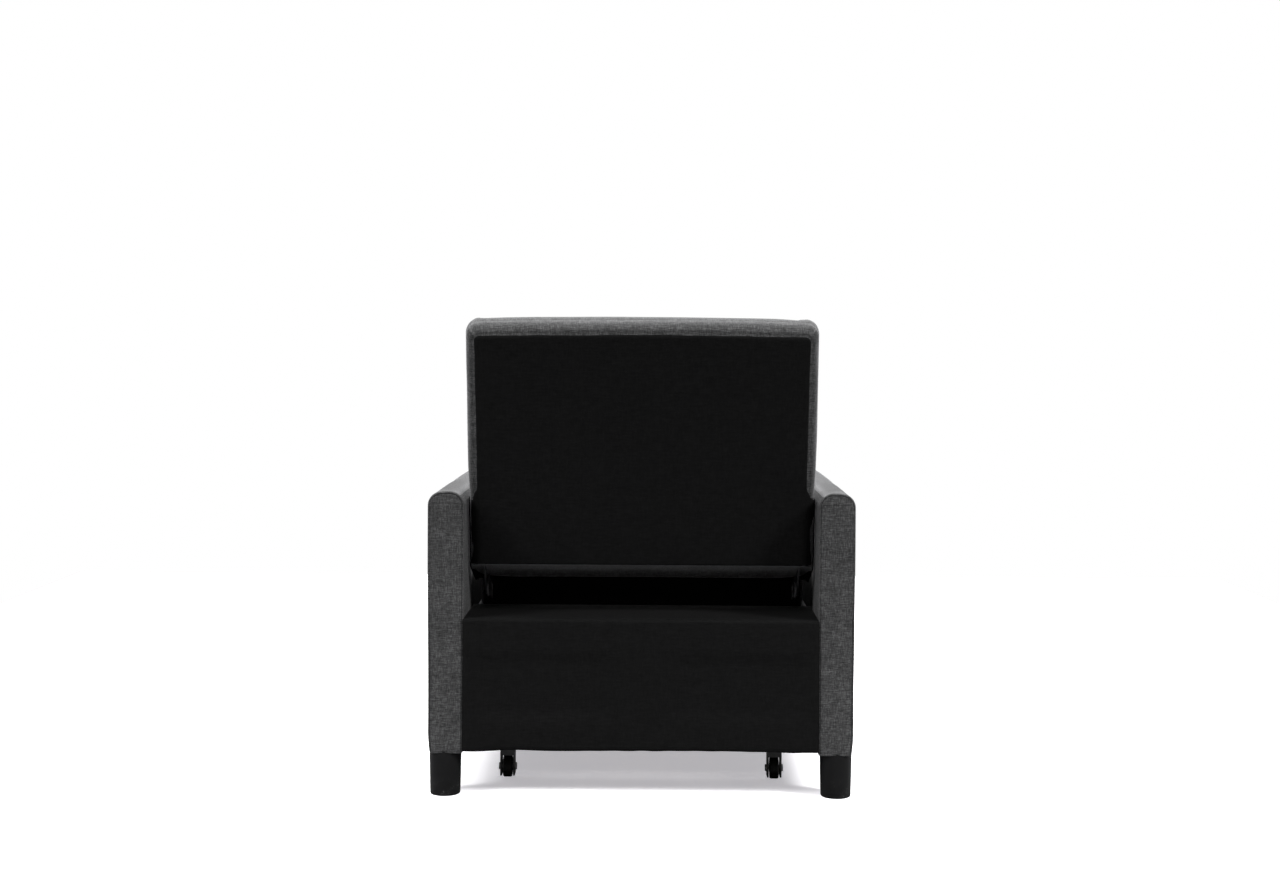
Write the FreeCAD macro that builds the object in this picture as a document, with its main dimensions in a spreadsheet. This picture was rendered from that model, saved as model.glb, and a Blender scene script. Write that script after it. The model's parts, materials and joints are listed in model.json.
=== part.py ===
import FreeCAD, Part
import math
import os
import Sketcher
from FreeCAD import Vector, Placement, Rotation

# Convertible chair bed, upright (chair) pose. Millimetres, +Z up.
# X runs across the chair (+X is the sitter's left), the chair faces -Y.
# The origin is on the floor, in the middle of the whole object's box.
# Depths are given as "rear" distances: 0 is the rear plane of the arms,
# negative values lie further forward.

doc = FreeCAD.newDocument("ChairBed")
sheet = doc.addObject("Spreadsheet::Sheet", "Sizes")
sheet.set("A1", "'name")
sheet.set("B1", "'value")
sheet.set("C1", "'meaning")
_row = [2]


class Q:
    """A size: its number now, and the same thing written as an expression."""

    def __init__(self, val, txt):
        self.val = float(val)
        self.txt = txt

    def __add__(self, o):
        o = q(o)
        return Q(self.val + o.val, "(%s + %s)" % (self.txt, o.txt))

    __radd__ = __add__

    def __sub__(self, o):
        o = q(o)
        return Q(self.val - o.val, "(%s - %s)" % (self.txt, o.txt))

    def __rsub__(self, o):
        return q(o) - self

    def __mul__(self, o):
        o = q(o)
        return Q(self.val * o.val, "(%s * %s)" % (self.txt, o.txt))

    __rmul__ = __mul__

    def __truediv__(self, o):
        o = q(o)
        return Q(self.val / o.val, "(%s / %s)" % (self.txt, o.txt))

    def __neg__(self):
        return Q(-self.val, "(0 - %s)" % self.txt)


def q(x):
    if isinstance(x, Q):
        return x
    x = float(x)
    return Q(x, "%.6f" % x if x >= 0 else "(0 - %.6f)" % -x)


def par(name, value, meaning):
    r = _row[0]
    _row[0] += 1
    sheet.set("A%d" % r, "'" + name)
    sheet.set("B%d" % r, repr(float(value)))
    sheet.setAlias("B%d" % r, name)
    sheet.set("C%d" % r, "'" + meaning)
    return Q(value, "Sizes." + name)


# ------------------------------------------------------------------ sizes
rear_y = par("rear_plane_y", 372.3, "y of the rear plane of the arms")
arm_inner = par("arm_inner_x", 351, "inner face of an arm")
arm_outer = par("arm_outer_x", 421, "outer face of an arm")
arm_depth = par("arm_depth", 780, "depth of an arm, rear to front")
arm_top = par("arm_top_z", 604, "top of an arm")
arm_round = par("arm_top_radius", 27, "rounding of an arm's top edges")
arm_front_round = par("arm_front_radius", 70, "rounding of an arm's front top corner")
foot_height = par("foot_height", 89, "floor to the underside of an arm")
foot_top_r = par("foot_top_radius", 32, "foot radius at its top")
foot_low_r = par("foot_bottom_radius", 30, "foot radius at the floor")
foot_x = par("foot_centre_x", 388.7, "foot centre from the middle plane")
foot_rear = par("foot_rear_depth", 33, "rear foot centre from the rear plane")
foot_front = par("foot_front_depth", 745, "front foot centre from the rear plane")
arm_skin = par("arm_padding", 12, "padding and cover on an arm's sides")
board = par("board_thickness", 18, "thickness of the frame boards")
foot_bolt_r = par("foot_bolt_radius", 4, "foot bolt")

deck_top = par("deck_top_z", 352, "top of the rear deck with its cover")
deck_depth = par("deck_depth", 200, "depth of the rear deck")
cover_th = par("cover_thickness", 2, "black cover cloth with its lining")
box_low = par("rear_box_low_z", 95, "lower edge of the rear wall")
rail_th = par("rear_rail_thickness", 20, "rear rails, front to back")
rail_tall = par("rear_rail_height", 40, "rear rails, height")
deck_board_th = par("deck_board_thickness", 12, "board under the deck cover")

rail_top = par("seat_rail_top_z", 336, "top of the seat's side rails")
tube = par("seat_tube", 30, "side of the seat's square tubes")
tube_wall = par("tube_wall", 2, "wall of the steel tubes")
rail_in = par("seat_rail_inner_x", 260, "inner side of a seat rail")
rail_rear = par("seat_rail_rear_depth", 150, "rear end of the seat rails")
rail_front = par("seat_rail_front_depth", 698, "front end of the seat rails")
seat_rear = par("seat_rear_depth", 222, "rear face of the seat")
seat_front = par("seat_front_depth", 716, "front face of the seat")
seat_half = par("seat_half_width", 335, "half width of the seat cushion")
seat_top = par("seat_top_z", 460, "top of the seat cushion")
front_board_top = par("front_board_top_z", 398, "top of the seat's front board")
slat_th = par("slat_thickness", 8, "seat slats")
slat_w = par("slat_width", 58, "seat slats")
bar_half = par("crossbar_half_width", 330, "half length of the seat's crossbars")

post_low = par("post_low_z", 5.5, "lower end of a caster post")
post_rear = par("rear_post_depth", 169, "rear caster post centre")
post_front = par("front_post_depth", 590, "front caster post centre")
wheel_r = par("wheel_radius", 22, "caster wheel")
wheel_w = par("wheel_width", 20, "caster wheel")
wheel_z = par("wheel_axle_z", 22.5, "caster axle above the floor")
axle_r = par("axle_radius", 4, "caster axle bolt")
axle_gap = par("axle_clearance", 0.05, "running clearance on pins and axles")
fork_top = par("fork_slot_top_z", 47, "top of the slot that the wheel turns in")

hinge_depth = par("back_hinge_depth", 140, "back hinge axis from the rear plane")
hinge_z = par("back_hinge_z", 400, "back hinge axis above the floor")
lean = par("back_lean_deg", 14.5, "lean of the back in the chair pose")
back_half = par("back_half_width", 343.5, "half width of the back")
back_front = par("back_front_n", 74, "hinge axis to the back's front face")
back_rear = par("back_rear_n", 46, "hinge axis to the back's rear face")
back_top = par("back_top_v", 567, "hinge axis to the back's top, along the lean")
panel_half = par("back_panel_half_width", 332, "half width of the black rear panel")
panel_low = par("back_panel_low_v", 60, "lower edge of the rear panel")
panel_top = par("back_panel_top_v", 546, "upper edge of the rear panel")
frame_out = par("back_frame_outer_x", 317, "outer side of the back's tube frame")
frame_tube = par("back_frame_tube", 25, "side of the back frame's tubes")
frame_n = par("back_frame_n", 12, "front side of the back frame's tubes")
frame_low = par("back_frame_low_v", 70, "lower end of the back frame")
frame_top = par("back_frame_top_v", 540, "upper end of the back frame")
hinge_r = par("hinge_sector_radius", 23, "radius of the lower hinge plate")
eye_r = par("hinge_eye_radius", 18, "radius of the upper hinge plate's eye")
hinge_th = par("hinge_plate", 3, "thickness of the hinge plates")
hinge_pin_r = par("hinge_pin_radius", 5, "back hinge pin")

leg_depth = par("leg_axis_depth", 725, "leg rest axis from the rear plane")
leg_z = par("leg_axis_z", 401, "leg rest axis above the floor")
leg_half = par("leg_half_width", 328, "half width of the leg rest")
leg_low = par("leg_low_z", 112, "lower end of the leg rest")
leg_board = par("leg_board", 12, "board behind the leg rest pad")
leg_pad = par("leg_pad", 48, "pad of the leg rest")
flip_depth = par("flip_axis_depth", 724.5, "flap axis from the rear plane")
flip_z = par("flip_axis_z", 103, "flap axis above the floor")
flip_half = par("flip_half_width", 323, "half width of the folded flap")
flip_thick = par("flip_thickness", 55, "thickness of the folded flap")
flip_top = par("flip_top_z", 303, "upper end of the folded flap")
leg_pin_r = par("leg_pin_radius", 3, "leg rest pins")
doc.recompute()

nodes = {}


def rear(d):
    """y of a point d behind the arms' rear plane (negative: in front)."""
    return rear_y + q(d)


def bind(obj, prop, val):
    obj.setExpression(prop, q(val).txt)


def keep(obj, label):
    obj.Label = label
    nodes[label] = obj
    return obj


# ------------------------------------------------------ primitive helpers
def box(label, lo, hi, final=True):
    """Axis-aligned board or bar between two corners."""
    o = doc.addObject("Part::Box", label)
    for prop, a, b in (("Length", lo[0], hi[0]), ("Width", lo[1], hi[1]), ("Height", lo[2], hi[2])):
        bind(o, prop, q(b) - q(a))
    for k, a in zip("xyz", lo):
        bind(o, "Placement.Base." + k, a)
    return keep(o, label) if final else o


def rod(name, x0, x1, y, z, r):
    """Cylinder along X from x0 to x1."""
    o = doc.addObject("Part::Cylinder", name)
    o.Placement = Placement(Vector(0, 0, 0), Rotation(Vector(0, 1, 0), 90))
    bind(o, "Radius", r)
    bind(o, "Height", q(x1) - q(x0))
    bind(o, "Placement.Base.x", x0)
    bind(o, "Placement.Base.y", y)
    bind(o, "Placement.Base.z", z)
    return o


def post(name, x, y, z0, z1, r):
    """Cylinder along Z."""
    o = doc.addObject("Part::Cylinder", name)
    bind(o, "Radius", r)
    bind(o, "Height", q(z1) - q(z0))
    bind(o, "Placement.Base.x", x)
    bind(o, "Placement.Base.y", y)
    bind(o, "Placement.Base.z", z0)
    return o


def fuse(label, parts):
    o = doc.addObject("Part::MultiFuse", label)
    o.Shapes = parts
    o.Refine = True
    return o


def cut(label, base, tool):
    o = doc.addObject("Part::Cut", label)
    o.Base = base
    o.Tool = tool
    return o


def group(label, parts):
    """Several separate solids of one kind in one node."""
    o = doc.addObject("Part::Compound", label)
    o.Links = parts
    return keep(o, label)


# ------------------------------------------------------ PartDesign helpers
def new_body(label):
    b = doc.addObject("PartDesign::Body", label)
    b.Label = label
    return b


def plane_of(body, role):
    for f in body.Origin.OriginFeatures:
        if f.Role == role:
            return f
    raise RuntimeError("no plane " + role)


def sketch_on(body, role, offset):
    sk = body.newObject("Sketcher::SketchObject", body.Name + "_sketch")
    sk.AttachmentSupport = [(plane_of(body, role), "")]
    sk.MapMode = "FlatFace"
    bind(sk, "AttachmentOffset.Base.z", offset)
    return sk


def pin_point(sk, geo, pos, u, v):
    c = sk.addConstraint(Sketcher.Constraint("DistanceX", -1, 1, geo, pos, q(u).val))
    sk.setExpression("Constraints[%d]" % c, q(u).txt)
    c = sk.addConstraint(Sketcher.Constraint("DistanceY", -1, 1, geo, pos, q(v).val))
    sk.setExpression("Constraints[%d]" % c, q(v).txt)


def polygon(sk, pts):
    n = len(pts)
    first = sk.GeometryCount
    for i in range(n):
        a, b = pts[i], pts[(i + 1) % n]
        sk.addGeometry(Part.LineSegment(Vector(q(a[0]).val, q(a[1]).val, 0), Vector(q(b[0]).val, q(b[1]).val, 0)), False)
    for i in range(n):
        sk.addConstraint(Sketcher.Constraint("Coincident", first + i, 2, first + (i + 1) % n, 1))
    for i in range(n):
        pin_point(sk, first + i, 1, pts[i][0], pts[i][1])


def circle(sk, u, v, r):
    g = sk.addGeometry(Part.Circle(Vector(q(u).val, q(v).val, 0), Vector(0, 0, 1), q(r).val), False)
    pin_point(sk, g, 3, u, v)
    c = sk.addConstraint(Sketcher.Constraint("Radius", g, q(r).val))
    sk.setExpression("Constraints[%d]" % c, q(r).txt)


def pad(body, sk, length):
    p = body.newObject("PartDesign::Pad", body.Name + "_pad")
    p.Profile = sk
    bind(p, "Length", length)
    sk.Visibility = False
    return p


def pocket(body, sk, length):
    """Symmetric cut about its sketch plane; it must remove something."""
    doc.recompute()
    before = body.Shape.Volume
    p = body.newObject("PartDesign::Pocket", body.Name + "_pocket")
    p.Profile = sk
    if hasattr(p, "SideType"):
        p.SideType = "Symmetric"
    else:
        p.Midplane = True
    bind(p, "Length", length)
    doc.recompute()
    if not body.Shape.Volume < before - 1.0:
        raise RuntimeError("pocket cut nothing: " + body.Label)
    return p


def edges_where(shape, test):
    out = []
    for i, e in enumerate(shape.Edges):
        m = e.valueAt((e.FirstParameter + e.LastParameter) / 2.0)
        if test(e, m):
            out.append("Edge%d" % (i + 1))
    return out


def fillet(body, radius, test):
    doc.recompute()
    base = body.Tip
    names = edges_where(base.Shape, test)
    if not names:
        raise RuntimeError("no edges to round: " + body.Label)
    f = body.newObject("PartDesign::Fillet", body.Name + "_fillet")
    f.Base = (base, names)
    bind(f, "Radius", radius)
    return f


# =================================================================== BASE
def mirror_x(side, x):
    return q(x) if side > 0 else -q(x)


def span(side, a, b):
    """Low and high x of a piece between a and b on one side."""
    return (q(a), q(b)) if side > 0 else (-q(b), -q(a))


for side, tag in ((1, "l"), (-1, "r")):
    # arm: padded block over a wooden frame, open underneath
    x0, x1 = span(side, arm_inner, arm_outer)
    b = new_body("arm_upholstery_" + tag)
    sk = sketch_on(b, "XZ_Plane", -rear_y)
    polygon(sk, [(x0, foot_height), (x1, foot_height), (x1, arm_top), (x0, arm_top)])
    pad(b, sk, arm_depth)
    f_y = (rear_y - arm_depth).val
    zt = arm_top.val
    fillet(b, arm_front_round, lambda e, m: abs(m.y - f_y) < 1e-3 and abs(m.z - zt) < 1e-3)
    xa, xb = arm_inner.val, arm_outer.val
    r_f = arm_front_round.val
    fillet(b, arm_round, lambda e, m: (abs(abs(m.x) - xa) < 1e-3 or abs(abs(m.x) - xb) < 1e-3)
           and m.z > zt - 1e-3)
    c0, c1 = span(side, arm_inner + arm_skin, arm_outer - arm_skin)
    sk = sketch_on(b, "XY_Plane", foot_height)
    polygon(sk, [(c0, rear(-15)), (c1, rear(-15)), (c1, rear(15 - arm_depth)), (c0, rear(15 - arm_depth))])
    pocket(b, sk, (arm_top - foot_height - 38) * 2)
    keep(b, "arm_upholstery_" + tag)

    # arm frame: bottom rail on the feet, posts, top rail and inner panel
    f0, f1 = span(side, arm_inner + arm_skin, arm_outer - arm_skin)
    base_rail = box("arm_bottom_rail_" + tag, (f0, rear(15 - arm_depth), foot_height), (f1, rear(-15), foot_height + 36), False)
    holes = [post("arm_rail_bore_%s%d" % (tag, i), mirror_x(side, foot_x), rear(-d), foot_height - 1, foot_height + 37, foot_bolt_r)
             for i, d in enumerate((foot_rear, foot_front))]
    bores = doc.addObject("Part::Compound", "arm_rail_bores_" + tag)
    bores.Links = holes
    base_rail = cut("arm_base_rail_" + tag, base_rail, bores)
    top_z = arm_top - 38
    p_rear = box("arm_post_rear_" + tag, (f0, rear(-15 - board), foot_height + 36), (f1, rear(-15), top_z - board), False)
    p_front = box("arm_post_front_" + tag, (f0, rear(15 - arm_depth), foot_height + 36), (f1, rear(15 - arm_depth + board), top_z - board), False)
    t_rail = box("arm_top_rail_" + tag, (f0, rear(15 - arm_depth), top_z - board), (f1, rear(-15), top_z), False)
    g0, g1 = span(side, arm_inner + arm_skin, arm_inner + arm_skin + 9)
    panel = box("arm_inner_panel_" + tag, (g0, rear(15 - arm_depth + board), foot_height + 36), (g1, rear(-15 - board), top_z - board), False)
    group("arm_frame_" + tag, [base_rail, p_rear, p_front, t_rail, panel])

    # feet: turned plastic, slightly tapered, rounded at the floor
    for place, d in (("rear", foot_rear), ("front", foot_front)):
        b = new_body("foot_%s_%s" % (place, tag))
        sk = sketch_on(b, "XZ_Plane", 0)
        polygon(sk, [(foot_bolt_r, 0), (foot_low_r, 0), (foot_top_r, foot_height), (foot_bolt_r, foot_height)])
        rv = b.newObject("PartDesign::Revolution", b.Name + "_turn")
        rv.Profile = sk
        rv.ReferenceAxis = (sk, ["V_Axis"])
        rv.Angle = 360
        rl = foot_low_r.val
        fillet(b, 3.5, lambda e, m: abs(m.z) < 1e-3 and abs(math.hypot(m.x, m.y) - rl) < 1e-2)
        bind(b, "Placement.Base.x", mirror_x(side, foot_x))
        bind(b, "Placement.Base.y", rear(-d))
        keep(b, "foot_%s_%s" % (place, tag))

    # guide rail: C channel screwed to the arm's inner face
    b = new_body("guide_rail_" + tag)
    w0 = arm_inner - 10
    sk = sketch_on(b, "XZ_Plane", -(rear_y - 205))
    s = (lambda x: mirror_x(side, x))
    polygon(sk, [(s(w0), rail_top + 2), (s(arm_inner), rail_top + 2), (s(arm_inner), rail_top - 32), (s(w0), rail_top - 32),
                 (s(w0), rail_top - 30), (s(arm_inner - 2), rail_top - 30), (s(arm_inner - 2), rail_top), (s(w0), rail_top)])
    pad(b, sk, 565)
    keep(b, "guide_rail_" + tag)

    # cleat on the arm that carries the deck's end
    k0, k1 = span(side, arm_inner - 18, arm_inner)
    box("deck_cleat_" + tag, (k0, rear(-deck_depth + 4), deck_top - cover_th - deck_board_th - 22),
        (k1, rear(-cover_th - rail_th - 4), deck_top - cover_th - deck_board_th))

# four hanger bolts that hold the feet to the bottom rails
bolts = []
for side in (1, -1):
    for d in (foot_rear, foot_front):
        nm = "foot_bolt_%d_%d" % (side, int(d.val))
        bolts.append(post(nm, mirror_x(side, foot_x), rear(-d), 20, foot_height + 32, foot_bolt_r))
group("foot_bolts", bolts)

# rear box: two rails, a stud, the deck board and the black cover cloth
in_x = arm_inner
y_back = rear(-cover_th)
box("rear_rail_top", (-in_x, y_back - rail_th, deck_top - cover_th - deck_board_th - rail_tall), (in_x, y_back, deck_top - cover_th - deck_board_th))
box("rear_rail_bottom", (-in_x, y_back - rail_th, box_low), (in_x, y_back, box_low + rail_tall))
box("rear_stud", (-30, y_back - rail_th, box_low + rail_tall), (30, y_back, deck_top - cover_th - deck_board_th - rail_tall))
box("rear_deck_board", (-in_x, rear(-deck_depth), deck_top - cover_th - deck_board_th), (in_x, y_back, deck_top - cover_th))
box("rear_cover", (-in_x, y_back, box_low), (in_x, rear(0), deck_top))
box("deck_cover", (-in_x, rear(-deck_depth), deck_top - cover_th), (in_x, y_back, deck_top))

# steel angle brackets between the rails and the arms
angles = []
for side in (1, -1):
    for lvl, z0 in (("low", box_low + 4), ("top", deck_top - cover_th - deck_board_th - rail_tall + 2)):
        a0, a1 = span(side, in_x - 40, in_x)
        c0, c1 = span(side, in_x - 3, in_x)
        pa = box("angle_a_%s_%d" % (lvl, side), (a0, y_back - rail_th - 3, z0), (a1, y_back - rail_th, z0 + 13), False)
        pb = box("angle_b_%s_%d" % (lvl, side), (c0, y_back - rail_th - 43, z0), (c1, y_back - rail_th - 3, z0 + 13), False)
        angles.append(fuse("angle_%s_%d" % (lvl, side), [pa, pb]))
group("corner_brackets", angles)

# =================================================================== SEAT
for side, tag in ((1, "l"), (-1, "r")):
    s = (lambda x: mirror_x(side, x))
    # side rail: square steel tube running front to back
    b = new_body("seat_rail_" + tag)
    sk = sketch_on(b, "XZ_Plane", -(rear_y - rail_rear))
    a0, a1 = span(side, rail_in, rail_in + tube)
    polygon(sk, [(a0, rail_top - tube), (a1, rail_top - tube), (a1, rail_top), (a0, rail_top)])
    polygon(sk, [(a0 + tube_wall, rail_top - tube + tube_wall), (a1 - tube_wall, rail_top - tube + tube_wall),
                 (a1 - tube_wall, rail_top - tube_wall), (a0 + tube_wall, rail_top - tube_wall)])
    pad(b, sk, rail_front - rail_rear)
    keep(b, "seat_rail_" + tag)

    # caster posts: square tube, its lower end slotted for the wheel
    for place, d in (("rear", post_rear), ("front", post_front)):
        b = new_body("caster_post_%s_%s" % (place, tag))
        sk = sketch_on(b, "XY_Plane", post_low)
        yc = rear(-d)
        h2 = tube / 2
        polygon(sk, [(a0, yc - h2), (a1, yc - h2), (a1, yc + h2), (a0, yc + h2)])
        polygon(sk, [(a0 + tube_wall + 1.5, yc - h2 + tube_wall), (a1 - tube_wall - 1.5, yc - h2 + tube_wall),
                     (a1 - tube_wall - 1.5, yc + h2 - tube_wall), (a0 + tube_wall + 1.5, yc + h2 - tube_wall)])
        pad(b, sk, rail_top - tube - post_low)
        sk = sketch_on(b, "XZ_Plane", -yc)
        polygon(sk, [(a0 + tube_wall + 1.5, post_low - 1), (a1 - tube_wall - 1.5, post_low - 1),
                     (a1 - tube_wall - 1.5, fork_top), (a0 + tube_wall + 1.5, fork_top)])
        pocket(b, sk, tube * 2)
        sk = sketch_on(b, "YZ_Plane", s(rail_in + tube / 2))
        circle(sk, yc, wheel_z, axle_r)
        pocket(b, sk, tube * 2)
        keep(b, "caster_post_%s_%s" % (place, tag))

        # wheel: disc with a recessed web and a bored hub
        b = new_body("caster_wheel_%s_%s" % (place, tag))
        w = wheel_w / 2
        sk = sketch_on(b, "XY_Plane", 0)
        polygon(sk, [(-w, axle_r + axle_gap), (w, axle_r + axle_gap), (w, 9), (w - 4, 11), (w - 4, wheel_r - 6),
                     (w - 1, wheel_r - 4), (w - 1, wheel_r - 1.5), (w - 3, wheel_r), (3 - w, wheel_r),
                     (1 - w, wheel_r - 1.5), (1 - w, wheel_r - 4), (4 - w, wheel_r - 6), (4 - w, 11), (-w, 9)])
        rv = b.newObject("PartDesign::Revolution", b.Name + "_turn")
        rv.Profile = sk
        rv.ReferenceAxis = (sk, ["H_Axis"])
        rv.Angle = 360
        bind(b, "Placement.Base.x", s(rail_in + tube / 2))
        bind(b, "Placement.Base.y", yc)
        bind(b, "Placement.Base.z", wheel_z)
        keep(b, "caster_wheel_%s_%s" % (place, tag))

    # nylon block that runs in the guide rail
    m0, m1 = span(side, bar_half, arm_inner - 3)
    box("glide_block_" + tag, (m0, rear(-262), rail_top - 29), (m1, rear(-seat_rear), rail_top - 1))

# axle bolts with their nuts
axles = []
for side in (1, -1):
    for d in (post_rear, post_front):
        nm = "axle_%d_%d" % (side, int(d.val))
        xc = mirror_x(side, rail_in + tube / 2)
        yc = rear(-d)
        shank = rod(nm + "a", xc - tube / 2, xc + tube / 2, yc, wheel_z, axle_r)
        head = rod(nm + "b", xc + tube / 2, xc + tube / 2 + 3.5, yc, wheel_z, 7)
        nut = doc.addObject("Part::Prism", nm + "c")
        nut.Polygon = 6
        nut.Placement = Placement(Vector(0, 0, 0), Rotation(Vector(0, 1, 0), 90))
        nut.Circumradius = 7.5
        bind(nut, "Height", 3.5)
        bind(nut, "Placement.Base.x", xc - tube / 2 - 3.5)
        bind(nut, "Placement.Base.y", yc)
        bind(nut, "Placement.Base.z", wheel_z)
        axles.append(fuse(nm, [shank, head, nut]))
group("axle_bolts", axles)

# crossbars: one piece between the rails and a stub out to each guide
z0, z1 = rail_top - tube, rail_top
for label, d, out in (("seat_crossbar_rear", seat_rear, bar_half), ("seat_crossbar_mid", q(455), None),
                      ("seat_crossbar_front", rail_front - tube, bar_half)):
    pcs = [box(label + "_c", (-rail_in, rear(-(d + tube)), z0), (rail_in, rear(-d), z1), False)]
    if out is not None:
        for side in (1, -1):
            a0, a1 = span(side, rail_in + tube, out)
            pcs.append(box("%s_%d" % (label, side), (a0, rear(-(d + tube)), z0), (a1, rear(-d), z1), False))
    group(label, pcs)

box("seat_front_board", (-(seat_half - 3), rear(-seat_front), z0), (seat_half - 3, rear(-rail_front), front_board_top))

# slats across the rails, under the cushion
slats = []
for i in range(7):
    y0 = rear(-(seat_rear + 4 + (slat_w + 10.5) * i + slat_w))
    slats.append(box("slat_%d" % i, (-(rail_in + tube), y0, rail_top), (rail_in + tube, y0 + slat_w, rail_top + slat_th), False))
group("seat_slats", slats)

# seat cushion: foam block, notched over the front board, rounded along the front
b = new_body("seat_cushion")
sk = sketch_on(b, "YZ_Plane", -seat_half)
zb = rail_top + slat_th
polygon(sk, [(rear(-seat_rear), zb), (rear(-seat_rear), seat_top), (rear(-seat_front), seat_top),
             (rear(-seat_front), front_board_top), (rear(-rail_front), front_board_top), (rear(-rail_front), zb)])
pad(b, sk, seat_half * 2)
keep(b, "seat_cushion")

# lower hinge plates: flange on the rear crossbar, web and toothed sector at the axis
hy, hz = rear(-hinge_depth), hinge_z
for side, tag in ((1, "l"), (-1, "r")):
    s = (lambda x: mirror_x(side, x))
    p0, p1 = span(side, 313, 313 + hinge_th)
    flange_x = span(side, 291, 316)
    fl = box("hinge_flange_" + tag, (flange_x[0], rear(-seat_rear), rail_top - tube), (flange_x[1], rear(3 - seat_rear), 390), False)
    wb = new_body("hinge_web_" + tag)
    sk = sketch_on(wb, "YZ_Plane", p0)
    polygon(sk, [(rear(-seat_rear), 362), (rear(-seat_rear), 390), (rear(-165), 411), (hy, hz + 18), (hy, hz - 18), (rear(-165), 376)])
    pad(wb, sk, hinge_th)
    sk = sketch_on(wb, "YZ_Plane", p0)
    # sector with shallow ratchet teeth round its rim
    teeth = 28
    pts = []
    for i in range(teeth):
        a = 2 * math.pi * i / teeth
        pts.append((hy + hinge_r * math.cos(a), hz + hinge_r * math.sin(a)))
        a += 2 * math.pi * 0.8 / teeth
        pts.append((hy + (hinge_r - 2) * math.cos(a), hz + (hinge_r - 2) * math.sin(a)))
    polygon(sk, pts)
    pad(wb, sk, hinge_th)
    sk = sketch_on(wb, "YZ_Plane", p0)
    circle(sk, hy, hz, hinge_pin_r)
    pocket(wb, sk, hinge_th * 3)
    keep(fuse("ratchet_lower_" + tag, [fl, wb]), "ratchet_lower_" + tag)

# back hinge pins: rivets with a head on the outer side
pins = []
for side in (1, -1):
    a0, a1 = span(side, 313, 321.5)
    h0, h1 = span(side, 320.3, 323.5)
    t0, t1 = span(side, 310.5, 313)
    pins.append(fuse("hinge_pin_%d" % side, [rod("hp_a%d" % side, a0, a1, hy, hz, hinge_pin_r), rod("hp_b%d" % side, h0, h1, hy, hz, 9),
                                             rod("hp_c%d" % side, t0, t1, hy, hz, 8)]))
group("hinge_pins", pins)

# leg rest brackets on the ends of the front board, with their pins
ly, lz = rear(-leg_depth), leg_z
for side, tag in ((1, "l"), (-1, "r")):
    b = new_body("legrest_bracket_" + tag)
    p0, p1 = span(side, 332, 335.5)
    sk = sketch_on(b, "YZ_Plane", p0)
    polygon(sk, [(rear(-(rail_front + 1)), 330), (rear(-(rail_front + 1)), 390), (rear(-(seat_front + 1)), front_board_top - 1), (rear(-(seat_front + 1)), lz),
                 (ly, lz + 8), (ly, lz - 8), (rear(-seat_front), 350), (rear(-seat_front), 330)])
    pad(b, sk, p1 - p0)
    sk = sketch_on(b, "YZ_Plane", p0)
    circle(sk, ly, lz, 8)
    pad(b, sk, p1 - p0)
    sk = sketch_on(b, "YZ_Plane", p0)
    circle(sk, ly, lz, leg_pin_r)
    pocket(b, sk, 12)
    keep(b, "legrest_bracket_" + tag)
pins = []
for side in (1, -1):
    a0, a1 = span(side, leg_half, 335.5)
    h0, h1 = span(side, 335.5, 338.5)
    pins.append(fuse("leg_pin_%d" % side, [rod("lp_a%d" % side, a0, a1, ly, lz, leg_pin_r), rod("lp_b%d" % side, h0, h1, ly, lz, 6.5)]))
group("legrest_pins", pins)

# =================================================================== BACK
# The back's own coordinates: y along its thickness (rearward), z up the lean,
# both from the hinge axis.


def lean_place(o):
    o.Placement = Placement(Vector(0, hy.val, hz.val), Rotation(Vector(-1, 0, 0), lean.val))
    bind(o, "Placement.Base.y", hy)
    bind(o, "Placement.Base.z", hz)
    bind(o, "Placement.Rotation.Angle", lean)
    return o


b = new_body("back_cushion")
sk = sketch_on(b, "YZ_Plane", -back_half)
polygon(sk, [(back_rear - 2, 63), (back_rear, 75), (back_rear, back_top - 24), (back_rear - 9, back_top - 7), (back_rear - 26, back_top),
             (-(back_front - 42), back_top - 4), (-(back_front - 16), back_top - 16), (-back_front, back_top - 42), (-back_front, -20)])
pad(b, sk, back_half * 2)
# hollow for the tube frame and springs, open towards the rear panel
sk = sketch_on(b, "XZ_Plane", -back_rear)
fo = frame_out + 4
polygon(sk, [(-fo, 0), (fo, 0), (fo, frame_top + 3), (-fo, frame_top + 3)])
pocket(b, sk, (back_rear - frame_n + 2) * 2)
# shallow rebate for the rear panel
sk = sketch_on(b, "XZ_Plane", -back_rear)
polygon(sk, [(-(panel_half + 0.5), 0), (panel_half + 0.5, 0), (panel_half + 0.5, panel_top + 0.5), (-(panel_half + 0.5), panel_top + 0.5)])
pocket(b, sk, cover_th * 2)
keep(lean_place(b), "back_cushion")

b = new_body("back_rear_cover")
sk = sketch_on(b, "XZ_Plane", -back_rear)
polygon(sk, [(-panel_half, panel_low), (panel_half, panel_low), (panel_half, panel_top), (-panel_half, panel_top)])
pad(b, sk, cover_th)
xr = panel_half.val
fillet(b, 13, lambda e, m: abs(abs(m.x) - xr) < 1e-3 and (abs(m.z - panel_low.val) < 1e-3 or abs(m.z - panel_top.val) < 1e-3)
       and abs(m.y - back_rear.val + cover_th.val / 2) < 1e-3)
keep(lean_place(b), "back_rear_cover")

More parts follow.
